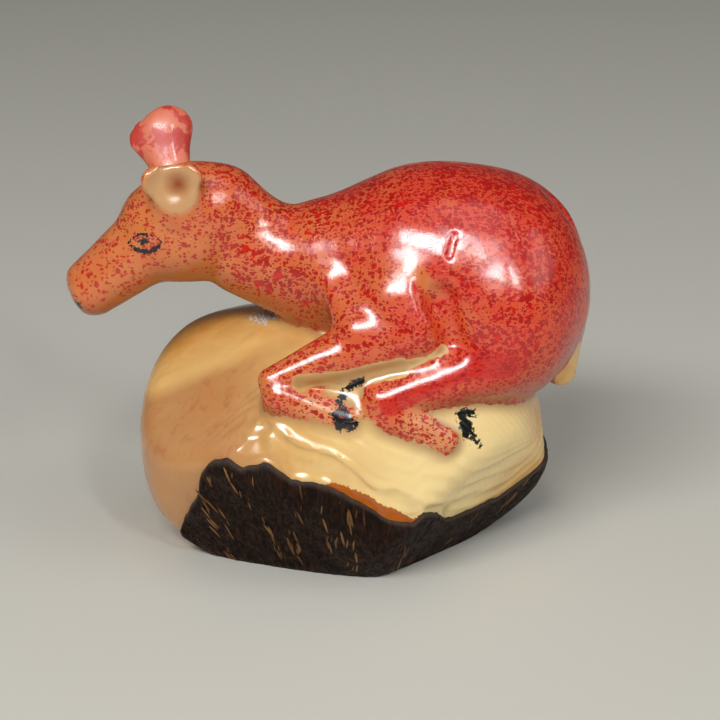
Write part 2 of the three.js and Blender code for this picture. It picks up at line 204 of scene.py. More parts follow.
def eggDistance(q, radii):
    k0 = np.linalg.norm(q / radii, axis=1)
    k1 = np.linalg.norm(q / radii ** 2, axis=1) + 1e-9
    return k0 * (k0 - 1) / k1


# Ball of radius ra at a, ball of radius rb at b and the cone that touches both
def taperDistance(p, a, b, ra, rb):
    span = np.linalg.norm(b - a)
    fromStart = p - a
    along = fromStart @ ((b - a) / span)
    away = np.sqrt(np.maximum((fromStart ** 2).sum(1) - along ** 2, 0))
    lean = (ra - rb) / span
    level = math.sqrt(1 - lean ** 2)
    side = level * along - lean * away
    beyondEnd = np.hypot(away, along - span) - rb
    capped = np.where(side > level * span, beyondEnd, level * away + lean * along - ra)
    return np.where(side < 0, np.hypot(away, along) - ra, capped)


def pressedTaper(p, a, b, radii, flat):
    press = np.array([1, 1 / flat, 1])
    return taperDistance(p * press, a * press, b * press, *radii) * min(flat, 1)


# Rows of a turned frame: across, along side, along up
def turnedFrame(up, side):
    top = unit(up)
    out = unit(np.array(side) - top * (top @ np.array(side)))
    return np.array([np.cross(top, out), out, top])


def massDistance(entry, p):
    share = carvingSizes["share"]
    at = np.array(entry["at"]) * share
    radii = np.array(entry["radii"]) * share
    flat = entry.get("flat", 1)
    if entry["kind"] == "egg":
        q = p - at
        if "up" in entry:
            q = q @ turnedFrame(entry["up"], entry["side"]).T
        return eggDistance(q, radii)
    to = np.array(entry["to"]) * share
    if entry["kind"] == "taper":
        return pressedTaper(p, at, to, radii, flat)
    q = (p - at) @ turnedFrame(to - at, entry["side"]).T
    return pressedTaper(q, np.zeros(3), np.array([0, 0, np.linalg.norm(to - at)]), radii, flat)


def mirrored(p):
    return p * np.array([1, -1, 1])


def beyondPlane(p, plane, reach):
    return p @ unit(plane["normal"]) - reach


def deerDistance(p):
    share = carvingSizes["share"]
    d = None
    for mass in deerMasses.values():
        part = massDistance(mass, p)
        if mass.get("twin"):
            part = blendedMin(part, massDistance(mass, mirrored(p)), carvingSizes["twinBlend"] * share)
        d = part if d is None else blendedMin(d, part, mass["blend"] * share)
    for hollow in deerHollows.values():
        part = massDistance(hollow, p)
        if hollow.get("twin"):
            part = np.minimum(part, massDistance(hollow, mirrored(p)))
        d = blendedMax(d, -part, hollow["blend"] * share)
    return blendedMax(d, beyondPlane(p, noseCut, noseCut["reach"] * share), noseCut["blend"] * share)


def wholeNutDistance(p):
    power = carvingSizes["nutSquareness"]
    radii = np.array([carvingSizes["nutLength"], carvingSizes["nutWidth"], carvingSizes["nutHeight"]]) / 2
    q = np.abs((p - nutMiddle) / radii) + 1e-9
    total = (q ** power).sum(1)
    slope = q ** (power - 1) / radii * (total ** (1 / power - 1))[:, None]
    d = (total ** (1 / power) - 1) / np.linalg.norm(slope, axis=1)
    for facet in nutFacets:
        d = blendedMax(d, beyondPlane(p, facet, facet["reach"]), facet["blend"])
    return d


def bearingOf(p):
    return np.degrees(np.arctan2(p[:, 1], p[:, 0] - nutMiddle[0]))


def coatEdgeHeight(bearing):
    bearings, heights = np.array(coatEdge, float).T
    return np.interp(bearing, bearings, heights)


def fleshDistance(p):
    aboveCoat = p[:, 2] - coatEdgeHeight(bearingOf(p))
    towardsTail = np.clip((p[:, 0] + 16) / 10, 0, 1)
    d = wholeNutDistance(p) + carvingSizes["coatThickness"]
    d = d + np.clip(aboveCoat, 0, 10) * carvingSizes["carvedSlope"] * towardsTail
    nearSide = p * np.array([1, 0, 1]) - np.array([0, 1, 0]) * np.abs(p[:, 1:2])
    web = eggDistance(nearSide - np.array(legWeb["at"]), np.array(legWeb["radii"]))
    d = blendedMin(d, web, legWeb["blend"])
    d = blendedMax(d, beyondPlane(p, topFacet, topFacet["reach"]), topFacet["blend"])
    scoop = eggDistance(p - np.array(rearScoop["at"]), np.array(rearScoop["radii"]))
    return blendedMax(d, -scoop, rearScoop["blend"])


# Smooth random values between -1 and 1, the same on every run
def softNoise(p, size, seed):
    q = p / size
    cell = np.floor(q).astype(np.int64)
    t = q - cell
    t = t * t * (3 - 2 * t)
    total = np.zeros(len(p))
    for corner in range(8):
        step = np.array([corner & 1, (corner >> 1) & 1, corner >> 2])
        c = cell + step
        mixed = (c[:, 0] * 73856093) ^ (c[:, 1] * 19349663) ^ (c[:, 2] * 83492791) ^ (seed * 2654435761)
        mixed = (mixed ^ (mixed >> 13)) * 1274126177 & 0xFFFFFFFF
        value = ((mixed ^ (mixed >> 16)) & 0xFFFF) / 32767.5 - 1
        total += value * np.where(step == 1, t, 1 - t).prod(1)
    return total


reliefSizes = {
    "handUnevenness": 0.07,      # mm, left by rubbing the deer smooth
    "unevennessSize": 3.4,
    "scraping": 0.025,
    "scrapingSize": 1.1,
    "fluteDepth": 0.14,      # knife flutes on the ground in front of the legs
    "fluteWidth": 1.7,
    "fluteReach": 10.0,
    "scoopDepth": 0.34,      # short scoops between the ground's ridge and the seed coat
    "scoopLength": 3.7,
    "ridgeHeight": 0.2,
    "ridgeWidth": 0.45,
    "ridgeFade": 8.0,      # degrees at each end
    "nickDepth": 0.45,
    "nickWidth": 0.3,
}
groundRidge = [      # bearing in degrees and height in mm
    (-131, 20.7), (-118, 19.4), (-109, 18.0), (-100, 17.2), (-93, 16.4), (-86, 15.2), (-79, 13.1),
    (-70, 12.6), (-61, 11.0), (-50, 9.9), (-38, 8.6),
]
knifeNick = [((13.4, -9.2, 38.3), (12.8, -10.2, 36.4), 0.0)]


# How far tool marks stand out from the plain field, in mm
def reliefHeight(p, deer, flesh):
    sizes = reliefSizes
    height = sizes["handUnevenness"] * softNoise(p, sizes["unevennessSize"], 3)
    height += sizes["scraping"] * softNoise(p, sizes["scrapingSize"], 5)
    aboveCoat = p[:, 2] - coatEdgeHeight(bearingOf(p))
    wander = 0.9 * softNoise(p * np.array([0.35, 0.35, 1]), 2.6, 11)
    flute = np.abs(np.sin(math.pi * (aboveCoat / sizes["fluteWidth"] + wander)))
    onGround = np.clip((deer - flesh) / 1.5, 0, 1) * np.clip(aboveCoat / 0.8, 0, 1)
    fluted = onGround * np.clip((p[:, 0] + 15) / 6, 0, 1)
    fluted *= np.clip((sizes["fluteReach"] - aboveCoat) / 3, 0, 1)
    height -= sizes["fluteDepth"] * flute * fluted

    # the ridge where the ground turns down, and the scoops below it
    bearing = bearingOf(p)
    ridgeBearings, ridgeHeights = np.array(groundRidge, float).T
    below = np.interp(bearing, ridgeBearings, ridgeHeights) - p[:, 2]
    inFront = np.clip((bearing - ridgeBearings[0]) / sizes["ridgeFade"], 0, 1)
    inFront *= np.clip((ridgeBearings[-1] - bearing) / sizes["ridgeFade"], 0, 1)
    height += sizes["ridgeHeight"] * np.exp(-(below / sizes["ridgeWidth"]) ** 2) * inFront * onGround
    along = np.radians(bearing) * carvingSizes["nutWidth"] / 2 / sizes["scoopLength"]
    scoop = np.abs(np.sin(math.pi * (along + 0.35 * softNoise(p, 3.0, 17))))
    height -= sizes["scoopDepth"] * scoop * np.clip(below / 0.9, 0, 1) * inFront * onGround
    nick = besideStrokes(p, knifeNick) / sizes["nickWidth"]
    return height - sizes["nickDepth"] * np.exp(-nick ** 2)


def dressedDistance(p):
    deer = deerDistance(p)
    flesh = fleshDistance(p)
    d = blendedMin(deer, flesh, carvingSizes["deerToNutBlend"]) - reliefHeight(p, deer, flesh)
    return blendedMax(d, -p[:, 2], 0.05)


# Meshing
def surfaceNet(distance, low, high, step):
    axes = [np.arange(a, b + step, step) for a, b in zip(low, high)]
    grid = np.stack(np.meshgrid(*axes, indexing="ij"), axis=-1)
    values = distance(grid.reshape(-1, 3)).reshape(grid.shape[:3])
    inside = values < 0
    cells = tuple(n - 1 for n in values.shape)
    total = np.zeros(cells + (3,))
    count = np.zeros(cells)
    for axis in range(3):
        for corner in range(4):
            start = [slice(0, n - 1) for n in values.shape]
            for bit, other in enumerate(((axis + 1) % 3, (axis + 2) % 3)):
                if corner >> bit & 1:
                    start[other] = slice(1, None)
            end = list(start)
            end[axis] = slice(1, None)
            v0, v1 = values[tuple(start)], values[tuple(end)]
            crossed = (v0 < 0) != (v1 < 0)
            place = grid[tuple(start)].copy()
            place[..., axis] += np.where(crossed, v0 / np.where(crossed, v0 - v1, 1), 0) * step
            total[crossed] += place[crossed]
            count += crossed
    used = count > 0
    index = np.full(cells, -1)
    index[used] = np.arange(used.sum())
    points = total[used] / count[used][:, None]
    quads = []
    for axis in range(3):
        u, w = (axis + 1) % 3, (axis + 2) % 3
        here = [slice(1, n - 1) for n in values.shape]
        ahead = list(here)
        ahead[axis] = slice(2, None)
        starts = inside[tuple(here)]
        i, j, k = np.nonzero(starts != inside[tuple(ahead)])
        node = np.stack([i, j, k], axis=1) + 1
        around = []
        for du, dw in ((-1, -1), (0, -1), (0, 0), (-1, 0)):
            cell = node.copy()
            cell[:, u] += du
            cell[:, w] += dw
            around.append(index[tuple(cell.T)])
        quad = np.stack(around, axis=1)
        outward = starts[i, j, k]
        quads.append(np.where(outward[:, None], quad, quad[:, ::-1]))
    return points, np.concatenate(quads)


def settledOn(distance, points, rounds, longestMove):
    p = points.copy()
    nudge = 0.02
    for _ in range(rounds):
        value = distance(p)
        slope = np.stack([(distance(p + nudge * axis) - value) / nudge for axis in np.eye(3)], axis=1)
        move = value / np.maximum((slope ** 2).sum(1), 0.25)
        p -= np.clip(move, -longestMove, longestMove)[:, None] * slope
    return p


def toMetres(points):
    return (points + centring) * metresPerMm


def newPiece(name, points, faces):
    mesh = bpy.data.meshes.new(name)
    mesh.from_pydata(points.tolist(), [], faces.tolist() if hasattr(faces, "tolist") else faces)
    mesh.update()
    piece = bpy.data.objects.new(name, mesh)
    bpy.context.scene.collection.objects.link(piece)
    return piece


def meshPoints(mesh):
    flat = np.zeros(len(mesh.vertices) * 3)
    mesh.vertices.foreach_get("co", flat)
    return flat.reshape(-1, 3)


def setMeshPoints(mesh, points):
    mesh.vertices.foreach_set("co", points.astype(np.float32).ravel())
    mesh.update()


def storeValues(mesh, name, values):
    layer = mesh.attributes.new(name, "FLOAT", "POINT")
    layer.data.foreach_set("value", np.asarray(values, np.float32))


# A plain mesh of what a piece's modifiers give, with the modifiers gone
def bakeModifiers(piece):
    bpy.context.view_layer.update()
    evaluated = piece.evaluated_get(bpy.context.evaluated_depsgraph_get())
    baked = bpy.data.meshes.new_from_object(evaluated)
    old = piece.data
    piece.modifiers.clear()
    piece.data = baked
    bpy.data.meshes.remove(old)
    baked.name = piece.name


def shadeSmooth(piece):
    piece.data.shade_smooth()


carvedSurface = {
    "latticeStep": 0.64,      # mm
    "margin": 1.5,
    "settleRounds": 3,
}


def makeCarving():
    low = np.array([nodeLow[i] / metresPerMm for i in range(3)]) - carvedSurface["margin"] - centring
    high = np.array([nodeHigh[i] / metresPerMm for i in range(3)]) + carvedSurface["margin"] - centring
    points, quads = surfaceNet(dressedDistance, low, high, carvedSurface["latticeStep"])
    piece = newPiece("carved_deer", points, quads)
    smooth = piece.modifiers.new("finer", "SUBSURF")
    smooth.levels = 1
    smooth.render_levels = 1
    bakeModifiers(piece)
    points = settledOn(dressedDistance, meshPoints(piece.data), carvedSurface["settleRounds"], 0.3)
    addCarvingValues(piece.data, points)
    setMeshPoints(piece.data, toMetres(points))
    shadeSmooth(piece)
    print("carving:", len(piece.data.polygons), "faces")
    return piece


# What the stain, paint and polish follow on the carving: places in mm
paintPlaces = {
    "eye": (-19.1, 36.05),      # x and z
    "eyeTilt": 8,      # degrees
    "headMiddle": -0.9,      # y of the head's own middle
    "nostril": (-26.9, 28.5),
    "earFront": (-15.7, -6.6, 42.4),
    "earFrontReach": (3.0, 2.4, 2.7),
    "bowl": (-15.4, -5.3, 42.7),
    "facetRise": 0.526,      # the yellow facet's lower edge climbs this much for each mm of x
    "facetFoot": 27.4,
    "foreHoof": [
        ((1.2, -14.7, 20.5), (1.4, -14.9, 19.4), 0.5),
        ((1.4, -14.9, 19.5), (2.9, -14.7, 19.4), 0.5),
        ((1.7, -14.4, 20.7), (2.2, -14.6, 20.1), 0.45),
        ((1.2, -13.9, 21.2), (1.9, -13.2, 22.2), 0.3),
        ((1.9, -13.2, 22.2), (3.7, -12.5, 23.6), 0.35),
    ],
    "hindHoof": [
        ((14.3, -12.6, 19.7), (15.5, -12.2, 19.6), 0.4),
        ((14.5, -12.8, 19.3), (15.0, -13.1, 17.9), 0.6),
        ((15.0, -13.1, 17.9), (16.3, -13.1, 16.3), 0.3),
    ],
    "crease": [
        ((9.0, -10.4, 35.2), (11.9, -11.2, 32.0), 0.7),
        ((11.9, -11.2, 32.0), (13.2, -11.6, 27.8), 0.3),
    ],
    "smear": [
        ((19.0, -13.2, 25.4), (15.5, -13.3, 25.4), 1.2),
        ((15.5, -13.3, 25.4), (6.5, -14.6, 21.4), 0.8),
    ],
    "web": [
        ((-2.6, -13.6, 23.6), (3.0, -12.8, 24.1), 0.8),
        ((3.0, -12.8, 24.1), (7.7, -12.9, 25.1), 1.0),
        ((7.7, -12.9, 25.1), (12.4, -11.8, 26.7), 0.45),
    ],
    "paleFeet": [
        ((-1.2, -14.7, 21.4), (2.4, -14.8, 20.0), 0.9),
        ((9.5, -14.3, 19.6), (13.0, -14.7, 17.4), 0.9),
    ],
    "chest": [((-8.0, -4.5, 33.5), (-3.0, -6.5, 31.5), 2.2), ((-3.0, -6.5, 31.5), (2.0, -7.0, 29.5), 2.0)],
}


# How much of the surface the red flecks cover, added up by region
stainWeights = {
    "everywhere": 0.52,
    "rump": 0.3,
    "head": 0.08,      # taken away
    "upper": 0.16,
    "neck": 0.22,
    "under": 0.5,      # taken away
    "rumpUnder": 0.6,      # share of that kept red under the rump
}


# Distance to the nearest of some round brush strokes, each from a to b
def besideStrokes(p, strokes):
    ends = [(np.array(a, float), np.array(b, float), r) for a, b, r in strokes]
    return np.min([taperDistance(p, a, b, r, r) for a, b, r in ends], axis=0)


def slopeOf(distance, points):
    value = distance(points)
    slope = np.stack([distance(points + 0.05 * axis) - value for axis in np.eye(3)], axis=1)
    return slope / np.maximum(np.linalg.norm(slope, axis=1), 1e-6)[:, None]


def ramp(value, start, end):
    return np.clip((value - start) / (end - start), 0, 1)


def addCarvingValues(mesh, points):
    nearSide = points.copy()
    nearSide[:, 1] = -np.abs(points[:, 1])
    deer = deerDistance(points)
    flesh = fleshDistance(points)
    facing = slopeOf(deerDistance, points)
    x, y, z = points.T
    storeValues(mesh, "deerEdge", np.clip(deer - flesh, -3, 3))
    aboveCoat = z - coatEdgeHeight(bearingOf(points))

    # how thick the red stain lies: most on back and rump, least on the face and underneath
    rumpward = ramp(x, -6, 20)
    headward = ramp(-x, 9, 16)
    neck = ramp(x, -14, -8) * ramp(-x, -4, 2)
    upper = ramp(z, 33, 41) * (1 - headward)
    under = ramp(-facing[:, 2], 0.15, 0.7)
    w = stainWeights
    stain = w["everywhere"] + w["rump"] * rumpward - w["head"] * headward + w["upper"] * upper
    stain = stain + w["neck"] * neck - w["under"] * under * (1 - w["rumpUnder"] * rumpward)
    farEar = ramp(z, 41.6, 42.8) * ramp(y, 0.8, 1.8)
    ear = (points - np.array(paintPlaces["earFront"])) / np.array(paintPlaces["earFrontReach"])
    ear = np.linalg.norm(ear, axis=1)
    nearEarSkin = ramp(1.2 - ear, 0, 0.28) * (y < 0)
    bowl = np.linalg.norm(points - np.array(paintPlaces["bowl"]), axis=1)
    tail = ramp(x, 24.6, 25.4) * ramp(24.6 - z, 0, 1.5) * ramp(3.6 - np.abs(y), 0, 0.6)
    crease = ramp(-besideStrokes(nearSide, paintPlaces["crease"]), -0.5, 0.1)
    web = ramp(-besideStrokes(nearSide, paintPlaces["web"]), -0.5, 0.2)
    paleFeet = ramp(-besideStrokes(nearSide, paintPlaces["paleFeet"]), -1.4, 0.3)
    bare = np.clip(tail + nearEarSkin + crease * 0.85 + web, 0, 1)
    storeValues(mesh, "stain", np.clip(stain - 0.06 * paleFeet, 0, 1.2) * (1 - bare))
    wash = 0.2 + rumpward * 0.8 + 0.35 * upper - headward * 0.2 - paleFeet * 0.9
    storeValues(mesh, "wash", np.clip(wash, 0, 1) * (1 - bare))
    storeValues(mesh, "bare", np.clip(tail + web * 0.95, 0, 1))
    # surfaces that face down: less red stain there, which is real, and painted shade in the shader
    storeValues(mesh, "under", under)
    storeValues(mesh, "face", headward)
    storeValues(mesh, "farEar", farEar)
    storeValues(mesh, "paleFoot", paleFeet)
    storeValues(mesh, "chest", ramp(-besideStrokes(nearSide, paintPlaces["chest"]), -1.2, 0.8))
    storeValues(mesh, "earSkin", nearEarSkin)
    storeValues(mesh, "bowl", ramp(-bowl, -1.7, -0.2) * (y < 0))
    storeValues(mesh, "smear", ramp(-besideStrokes(nearSide, paintPlaces["smear"]), -0.8, 0.3))
    # painted shade: darker brown in the creases where the deer meets the nut and in the web between the
    # folded legs
    shadeInCrease = ramp(aboveCoat, 1.0, 6.0) * ramp(1.5 - np.abs(deer - flesh), 0, 1.5)
    storeValues(mesh, "shade", np.maximum(shadeInCrease, web))

    # black paint
    tilt = math.radians(paintPlaces["eyeTilt"])
    ex, ez = x - paintPlaces["eye"][0], z - paintPlaces["eye"][1]
    storeValues(mesh, "eyeAcross", ex * math.cos(tilt) + ez * math.sin(tilt))
    storeValues(mesh, "eyeUp", ez * math.cos(tilt) - ex * math.sin(tilt))
    storeValues(mesh, "eyeSide", np.clip(np.abs(y - paintPlaces["headMiddle"]) - 2.2, -1, 1))
    hoofs = besideStrokes(nearSide, paintPlaces["foreHoof"] + paintPlaces["hindHoof"])
    storeValues(mesh, "hoof", np.clip(hoofs, -2, 3))
    nx, nz = paintPlaces["nostril"]
    notBetween = np.where(np.abs(y + 1.6) < 1.1, 2.0, 0)
    storeValues(mesh, "nostril", np.hypot(x - nx, (z - nz) * 1.3) + notBetween)

    # the nut's colours, with painted light and shade on them
    aboveFacetFoot = z - paintPlaces["facetFoot"] - paintPlaces["facetRise"] * x
    onTop = ramp(aboveFacetFoot, -0.5, 0.5) * ramp(-x, -2, 4)
    storeValues(mesh, "topFacet", onTop)
    # painted highlight: the facet paler along its lower edge, deeper orange higher up
    storeValues(mesh, "facetDepth", ramp(aboveFacetFoot, 0.8, 3.6) * onTop)
    # painted shade: the far top of the facet darker brown
    storeValues(mesh, "farTop", ramp(y, 2.0, 7.5) * onTop)
    # the left lobe: its own pinkish tone, darkened as painted shade for weaker light on the left
    storeValues(mesh, "lobe", ramp(-x, 2, 10) * (1 - onTop))
    # painted light: the front right of the nut made paler, standing in for stronger light from the right
    storeValues(mesh, "pale", ramp(x, -4, 10) * ramp(-y, 4, 9))
    ribs = ramp(x, 12, 16) * ramp(aboveCoat, 0.5, 3.0) * ramp(deer - flesh, 0.1, 0.6)
    storeValues(mesh, "ribs", np.clip(ribs + tail * 0.6, 0, 1))
    sliver = 1.45 * (1 - ((x - 5.4) / 5.6) ** 2)
    storeValues(mesh, "chip", np.clip(sliver - aboveCoat, -2, 2) - 4 * (y > 0))


# The seed coat: a thin shell over the lower nut, with bites along its upper edge
coatSizes = {
    "columns": 520,
    "rows": 44,
    "lipDepth": 0.62,      # mm, how far the cut edge goes in
    "raggedness": 0.16,
    "furrowDepth": 0.1,
    "furrowWidth": 0.75,
    "lumpDepth": 0.12,
    "lumpSize": 2.4,
    "bottomClearance": 0.03,
    "edgeRounding": 0.18,
    "highestBump": 0.16,
    "lookFrom": 8.0,      # height on the nut's axis that the rays start from
    "lowestRay": -52,      # degrees
    "highestRay": 42,
    "rays": 190,
}


# Distance from the axis point to the whole nut's surface, along each ray
def nutReach(directions):
    start = np.array([nutMiddle[0], 0, coatSizes["lookFrom"]])
    near = np.zeros(len(directions))
    far = np.full(len(directions), 40.0)
    for _ in range(26):
        middle = (near + far) / 2
        outside = wholeNutDistance(start + directions * middle[:, None]) > 0
        far = np.where(outside, middle, far)
        near = np.where(outside, near, middle)
    return start + directions * near[:, None]


def coatColumns():
    bearings = np.linspace(-180, 180, coatSizes["columns"], endpoint=False)
    heights = coatEdgeHeight(bearings)
    ring = np.stack([np.cos(np.radians(bearings)), np.sin(np.radians(bearings)), heights * 0], axis=1) * 20
    ragged = softNoise(ring, 1.2, 21) + 0.6 * softNoise(ring, 0.5, 22)
    heights = heights + coatSizes["raggedness"] * ragged
    keep = heights > 0.5
    order = np.argsort(np.where(bearings < -170, bearings + 360, bearings))
    return [(bearings[i], heights[i]) for i in order if keep[i]]


def coatFieldNormals(points):
    value = wholeNutDistance(points)
    slope = np.stack([wholeNutDistance(points + 0.02 * axis) - value for axis in np.eye(3)], axis=1)
    return slope / np.linalg.norm(slope, axis=1)[:, None]


def makeSeedCoat():
    sizes = coatSizes
    elevations = np.radians(np.linspace(sizes["lowestRay"], sizes["highestRay"], sizes["rays"]))
    columns = coatColumns()
    outer = []
    for bearing, edge in columns:
        b = math.radians(bearing)
        across = np.cos(elevations)
        rays = np.stack([across * math.cos(b), across * math.sin(b), np.sin(elevations)], axis=1)
        profile = nutReach(rays)
        length = np.concatenate([[0], np.cumsum(np.linalg.norm(np.diff(profile, axis=0), axis=1))])
        low = np.interp(sizes["bottomClearance"], profile[:, 2], length)
        high = np.interp(edge, profile[:, 2], length)
        stops = np.linspace(high, low, sizes["rows"])
        outer.append(np.stack([np.interp(stops, length, profile[:, i]) for i in range(3)], axis=1))
    outer = np.array(outer)
    count = len(columns)
    flat = outer.reshape(-1, 3)
    normals = coatFieldNormals(flat)
    around = np.repeat(np.radians([c[0] for c in columns]), sizes["rows"])
    fibre = np.stack([np.cos(around) * 17, np.sin(around) * 17, flat[:, 2] * 0.22], axis=1)
    furrow = softNoise(fibre, sizes["furrowWidth"], 31)
    furrow += 0.5 * softNoise(fibre, sizes["furrowWidth"] / 2, 32)
    lump = softNoise(flat, sizes["lumpSize"], 33)
    rowShare = np.tile(np.linspace(0, 1, sizes["rows"]), count)
    fade = np.clip(rowShare / 0.06, 0, 1) * np.clip((1 - rowShare) / 0.04, 0, 1)
    height = (sizes["furrowDepth"] * furrow + sizes["lumpDepth"] * lump) * (0.3 + 0.7 * fade)
    height -= sizes["edgeRounding"] * (1 - np.clip(rowShare / 0.03, 0, 1))
    top = flat + normals * np.minimum(height, sizes["highestBump"])[:, None]
    under = flat - normals * sizes["lipDepth"]
    top[:, 2] = np.maximum(top[:, 2], sizes["bottomClearance"])
    under[:, 2] = np.maximum(under[:, 2], sizes["bottomClearance"])
    points = np.concatenate([top, under])
    closed = abs(columns[0][0] + 360 - columns[-1][0]) < 1 or abs(columns[-1][0] - columns[0][0]) > 359
    faces = []
    rows, total = sizes["rows"], len(flat)
    spans = count if closed else count - 1
    for c in range(spans):
        d = (c + 1) % count
        for r in range(rows - 1):
            a, b = c * rows + r, d * rows + r
            faces.append((a, a + 1, b + 1, b))
            faces.append((total + a, total + b, total + b + 1, total + a + 1))
        faces.append((c * rows, d * rows, total + d * rows, total + c * rows))
        a, b = c * rows + rows - 1, d * rows + rows - 1
        faces.append((a, total + a, total + b, b))
    if not closed:
        for c, turn in ((0, False), (count - 1, True)):
            for r in range(rows - 1):
                a = c * rows + r
                end = (a, total + a, total + a + 1, a + 1)
                faces.append(end[::-1] if turn else end)
    piece = newPiece("seed_coat", toMetres(points), faces)
    storeValues(piece.data, "lip", np.concatenate([1 - np.clip(rowShare / 0.035, 0, 1), np.ones(total)]))
    shown = (rowShare > 0.05) & (rowShare < 0.93)
    bunched = np.clip(1.6 * softNoise(fibre, 1.5, 34), 0, 1)
    storeValues(piece.data, "fibreHere", np.concatenate([shown * bunched, np.zeros(total)]))
    grain = np.zeros((total, 3))
    grid = grain.reshape(count, rows, 3)
    surface = flat.reshape(count, rows, 3)
    grid[:, :-1] = np.diff(surface, axis=1)
    grid[:, -1] = grid[:, -2]
    layer = piece.data.attributes.new("grain", "FLOAT_VECTOR", "POINT")
    layer.data.foreach_set("vector", np.concatenate([grain, grain]).astype(np.float32).ravel())
    shadeSmooth(piece)
    print("seed coat:", len(piece.data.polygons), "faces")
    return piece


# Geometry Nodes: small copies scattered where a value on the surface says so
def groupInput(tree, name, kind, default):
    socket = tree.interface.new_socket(name, in_out="INPUT", socket_type=kind)
    if default is not None:
        socket.default_value = default
    return socket.identifier


def buildScatterTree(maskName, copyObject):
    tree = bpy.data.node_groups.new("scatterOver_" + maskName, "GeometryNodeTree")
    names = {"Geometry": groupInput(tree, "Geometry", "NodeSocketGeometry", None)}
    names["Per square metre"] = groupInput(tree, "Per square metre", "NodeSocketFloat", 1e5)
    names["Smallest"] = groupInput(tree, "Smallest", "NodeSocketFloat", 0.5)
    names["Largest"] = groupInput(tree, "Largest", "NodeSocketFloat", 1.0)
    names["Swing"] = groupInput(tree, "Swing", "NodeSocketFloat", 0.3)
    names["Seed"] = groupInput(tree, "Seed", "NodeSocketInt", 7)
    names["Finish"] = groupInput(tree, "Finish", "NodeSocketMaterial", None)
    tree.interface.new_socket("Geometry", in_out="OUTPUT", socket_type="NodeSocketGeometry")
    nodes, links = tree.nodes, tree.links
    entry = nodes.new("NodeGroupInput")
    mask = nodes.new("GeometryNodeInputNamedAttribute")
    mask.data_type = "FLOAT"
    mask.inputs["Name"].default_value = maskName
    grain = nodes.new("GeometryNodeInputNamedAttribute")
    grain.data_type = "FLOAT_VECTOR"
    grain.inputs["Name"].default_value = "grain"
    density = nodes.new("ShaderNodeMath")
    density.operation = "MULTIPLY"
    links.new(mask.outputs["Attribute"], density.inputs[0])
    links.new(entry.outputs["Per square metre"], density.inputs[1])
    scatter = nodes.new("GeometryNodeDistributePointsOnFaces")
    links.new(entry.outputs["Geometry"], scatter.inputs["Mesh"])
    links.new(density.outputs[0], scatter.inputs["Density"])
    links.new(entry.outputs["Seed"], scatter.inputs["Seed"])
    aligned = nodes.new("FunctionNodeAlignRotationToVector")
    aligned.axis = "X"
    aligned.pivot_axis = "Z"
    links.new(scatter.outputs["Rotation"], aligned.inputs["Rotation"])
    links.new(grain.outputs["Attribute"], aligned.inputs["Vector"])
    swing = nodes.new("FunctionNodeRandomValue")
    swing.data_type = "FLOAT"
    back = nodes.new("ShaderNodeMath")
    back.operation = "MULTIPLY"
    back.inputs[1].default_value = -1
    links.new(entry.outputs["Swing"], back.inputs[0])
    links.new(back.outputs[0], swing.inputs[2])
    links.new(entry.outputs["Swing"], swing.inputs[3])
    links.new(entry.outputs["Seed"], swing.inputs["Seed"])
    turn = nodes.new("FunctionNodeAxisAngleToRotation")
    turn.inputs["Axis"].default_value = (0, 0, 1)
    links.new(swing.outputs[1], turn.inputs["Angle"])
    turned = nodes.new("FunctionNodeRotateRotation")
    turned.rotation_space = "LOCAL"
    links.new(aligned.outputs["Rotation"], turned.inputs["Rotation"])
    links.new(turn.outputs["Rotation"], turned.inputs["Rotate By"])
    size = nodes.new("FunctionNodeRandomValue")
    size.data_type = "FLOAT"
    links.new(entry.outputs["Smallest"], size.inputs[2])
    links.new(entry.outputs["Largest"], size.inputs[3])
    links.new(entry.outputs["Seed"], size.inputs["Seed"])
    copy = nodes.new("GeometryNodeObjectInfo")
    copy.inputs["Object"].default_value = copyObject
    placed = nodes.new("GeometryNodeInstanceOnPoints")
    links.new(scatter.outputs["Points"], placed.inputs["Points"])
    links.new(copy.outputs["Geometry"], placed.inputs["Instance"])
    links.new(turned.outputs["Rotation"], placed.inputs["Rotation"])
    links.new(size.outputs[1], placed.inputs["Scale"])
    real = nodes.new("GeometryNodeRealizeInstances")
    links.new(placed.outputs["Instances"], real.inputs["Geometry"])
    finish = nodes.new("GeometryNodeSetMaterial")
    links.new(real.outputs["Geometry"], finish.inputs["Geometry"])
    links.new(entry.outputs["Finish"], finish.inputs["Material"])
    leave = nodes.new("NodeGroupOutput")
    links.new(finish.outputs["Geometry"], leave.inputs["Geometry"])
    return tree, names


def scatterOver(name, surface, copyObject, maskName, material, values):
    tree, names = buildScatterTree(maskName, copyObject)
    piece = bpy.data.objects.new(name, surface.data.copy())
    bpy.context.scene.collection.objects.link(piece)
    modifier = piece.modifiers.new("scatter", "NODES")
    modifier.node_group = tree
    for socketName, value in values.items():
        modifier[names[socketName]] = value
    modifier[names["Finish"]] = material
    bakeModifiers(piece)
    piece.data.materials.clear()
    piece.data.materials.append(material)
    bpy.data.objects.remove(copyObject)
    print(name + ":", len(piece.data.polygons), "faces")
    return piece


fibreSizes = {
    "length": 2.1,      # mm
    "width": 0.3,
    "height": 0.12,
    "perSquareMm": 0.75,
    "smallest": 0.4,
    "largest": 1.25,
    "swing": 0.22,
    "seed": 14,
}


